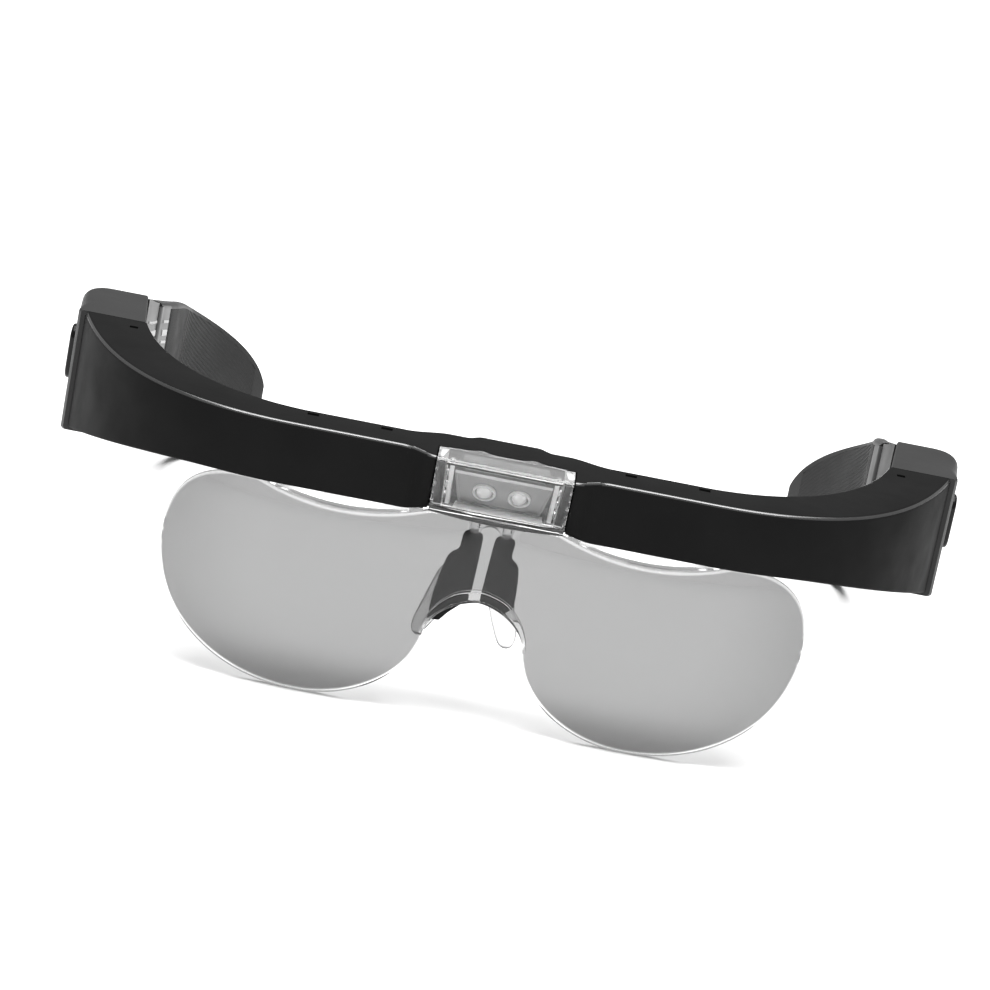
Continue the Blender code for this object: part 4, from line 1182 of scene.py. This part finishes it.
def hinge_lug(side):
    """Plate behind the block that carries the hinge's middle knuckle, cut clear of the arm's two."""
    top, low, third = hinge_heights()
    rings = []
    for y in (BLOCK_REAR - 1.5, 67.0, 70.0, 73.0, PIN.y):
        crest = arm_top(y) - LUG_DROP
        foot = arm_low(y)
        section = [(LUG_INSET, crest), (LUG_THICK, crest), (LUG_THICK, foot), (LUG_INSET, foot)]
        rings.append([(side * (arm_inner(y) + dx), y, z) for dx, z in section])
    lug = loft("lug", rings)
    low_x, high_x = sides_of_x(side, 60, 90)
    cut(lug, on_pin("upper_room", side, top - third, top + 8, BARREL + GAP),
        on_pin("lower_room", side, low - 8, low + third, BARREL + GAP),
        box("trim", (low_x, PIN.y - 0.2, -40.0), (high_x, PIN.y + 8.0, low + third - 0.01)),
        box("trim_top", (low_x, PIN.y - 0.2, top - third + 0.01), (high_x, PIN.y + 8.0, 5.0)))
    join(lug, on_pin("knuckle", side, low + third, top - third, BARREL))
    return cut(lug, on_pin("bore", side, low - 8, top + 8, PIN_RADIUS + GAP))


def make_block(side, word):
    """End block with its hinge lug, the tongue and catch that enter the bar, and the button's pocket."""
    block = block_body(side, word)
    lug = hinge_lug(side)
    low_x, high_x = sides_of_x(side, 74.3, 80.0)
    tongue = box("tongue", (low_x, 39.0, -17.5), (high_x, SEAM_Y + 1.5, -WALL - GAP))
    x, y, _ = SLOT_SPOTS[2]
    join(block, lug, tongue, stub("catch", side * x, y, 0.4, 0.4, -3.0, -0.4))
    pocket = plate("button_pocket", obround(BUTTON_WIDE + 2 * GAP, BUTTON_TALL + 2 * GAP), POCKET_DEEP + 2,
                   side_matrix(side) @ Matrix.Translation((0, 0, 1 - POCKET_DEEP / 2)))
    cut(block, pocket)
    crease_edges(block, 35)
    dress(block, *arm_finishes(side))
    # Smooth inner face behind the pin: on the left, the paler copy paints a sheen there.
    paint(block, 1, lambda spot, normal: spot.y > BLOCK_REAR + 0.2 and normal.x * side < -0.75)
    show(block, "frame", "arm_black", arm_finishes(side), f"{word}_end_block")
    make_button(side, word)


def make_button(side, word):
    """Glossy release button with rounded edges and a slightly crowned face."""
    spot = side_matrix(side)
    crown = [(0.0, -BUTTON_DEEP), (0.0, 0.4), (0.12, 0.68), (0.4, 0.85), (1.0, 0.94), (1.7, 1.0)]
    rings = []
    for inset, height in crown:
        outline = obround(BUTTON_WIDE - 2 * inset, BUTTON_TALL - 2 * inset)
        rings.append([spot @ Vector((u, v, height * BUTTON_PROUD)) for u, v in outline])
    button = loft(f"{word}_button_cap", rings, 50)
    show(button, f"{word}_button", "gloss_black", FINISH["gloss"], f"{word}_release_button")


# --- electrics

def make_usb_socket():
    """Folded metal shell with a plastic tongue inside, both given the steel finish."""
    spot, low = station_matrix(1)
    shell = box("charge_inlet", (-3.7, -1.3, low + 0.2), (3.7, 1.3, low + 5.4), spot)
    cut(shell, box("inlet_room", (-3.4, -1.0, low - 1.0), (3.4, 1.0, low + 4.6), spot))
    join(shell, box("inlet_tongue", (-2.6, -0.35, low + 1.0), (2.6, 0.2, low + 4.8), spot))
    show(soften(shell, 0.1), "frame", "steel", FINISH["steel"], "usb_socket")


def make_slider():
    """Switch slider with grip ridges across its cap."""
    spot, low = station_matrix(-1)
    slider = box("lamp_slider", (-2.7, -1.3, low - 0.6), (0.3, 1.3, low + 2.3), spot)
    ridges = [box("ridge", (u, -1.3, low - 0.9), (u + 0.35, 1.3, low - 0.4), spot)
              for u in spread(-2.7, -0.05, 4)]
    join(slider, *ridges)
    show(soften(slider, 0.07), "switch", "gloss_black", FINISH["gloss"], "switch_slider")


def dress_hidden_nodes():
    """The pieces that stay as CAD nodes take their finishes here."""
    finishes = {"battery_cell": ("cell", "cell_silver"), "charge_board": ("board", "board_dark"),
                "led_board": ("board", "board_dark"), "switch_body": ("gloss", "gloss_black")}
    for word in ("left", "right"):
        finishes[f"{word}_hinge_pin"] = ("steel", "steel")
        finishes[f"{word}_button_spring"] = ("steel", "steel")
    for name, (finish, slot) in finishes.items():
        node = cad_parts[name]
        node.data.materials.clear()
        node.data.materials.append(FINISH[finish])


# --- stage

def make_floor():
    shape = bmesh.new()
    bmesh.ops.create_grid(shape, x_segments=8, y_segments=8, size=FLOOR_HALF,
                          matrix=Matrix.Translation((0, MID_DEPTH, -TOP_HEIGHT - 0.02)))
    floor = build("studio_floor", shape)
    material, _, _, shader = shader_of("pale_floor", 0.9, [FLOOR_TONE] * 3)
    put(shader, {"Specular IOR Level": 0.1})
    floor.data.materials.append(material)


def area_light(name, spot, aim, size, power):
    data = bpy.data.lights.new(name, "AREA")
    data.shape = "RECTANGLE"
    data.size, data.size_y = size
    data.energy = power
    lamp = bpy.data.objects.new(name, data)
    lamp.location = spot
    lamp.rotation_euler = (Vector(aim) - Vector(spot)).to_track_quat("-Z", "Y").to_euler()
    lamp.visible_camera = False
    bpy.context.scene.collection.objects.link(lamp)


def make_lights():
    world = bpy.data.worlds.new("studio")
    world.use_nodes = True
    put(world.node_tree.nodes["Background"], {"Color": (1, 1, 1, 1), "Strength": WORLD_STRENGTH})
    bpy.context.scene.world = world
    area_light("overhead", (0.0, 0.1, 1.5), (0, 0, 0), (1.8, 1.5), 38)
    area_light("strip", (0.0, -0.36, 1.0), (0, -0.06, 0.05), (1.1, 0.32), 10)


def make_camera():
    """The camera looks down on the lamp from the front, rolled so that the right side hangs lower."""
    level = math.cos(CAMERA_PITCH)
    back = Vector((math.sin(CAMERA_TURN) * level, -math.cos(CAMERA_TURN) * level, math.sin(CAMERA_PITCH)))
    data = bpy.data.cameras.new("camera")
    data.sensor_width = 36.0
    data.lens = 140.0
    data.clip_start = 0.01
    data.clip_end = 50.0
    camera = bpy.data.objects.new("camera", data)
    camera.location = place(CAMERA_AIM) + back * CAMERA_DISTANCE
    turn = (-back).to_track_quat("-Z", "Y").to_matrix() @ Matrix.Rotation(CAMERA_ROLL, 3, "Z")
    camera.rotation_euler = turn.to_euler()
    bpy.context.scene.collection.objects.link(camera)
    bpy.context.scene.camera = camera
    bpy.context.scene.view_settings.view_transform = "Standard"


FINISH = make_finishes()
make_front_frame()
make_rear_cover()
make_window()
make_reflector()
make_leds()
make_lens()
make_bracket()
make_nose_pads()
for SIDE, WORD in SIDES:
    make_block(SIDE, WORD)
    make_arm(SIDE, WORD)
make_stripes()
make_usb_socket()
make_slider()
dress_hidden_nodes()
make_floor()
make_lights()
make_camera()
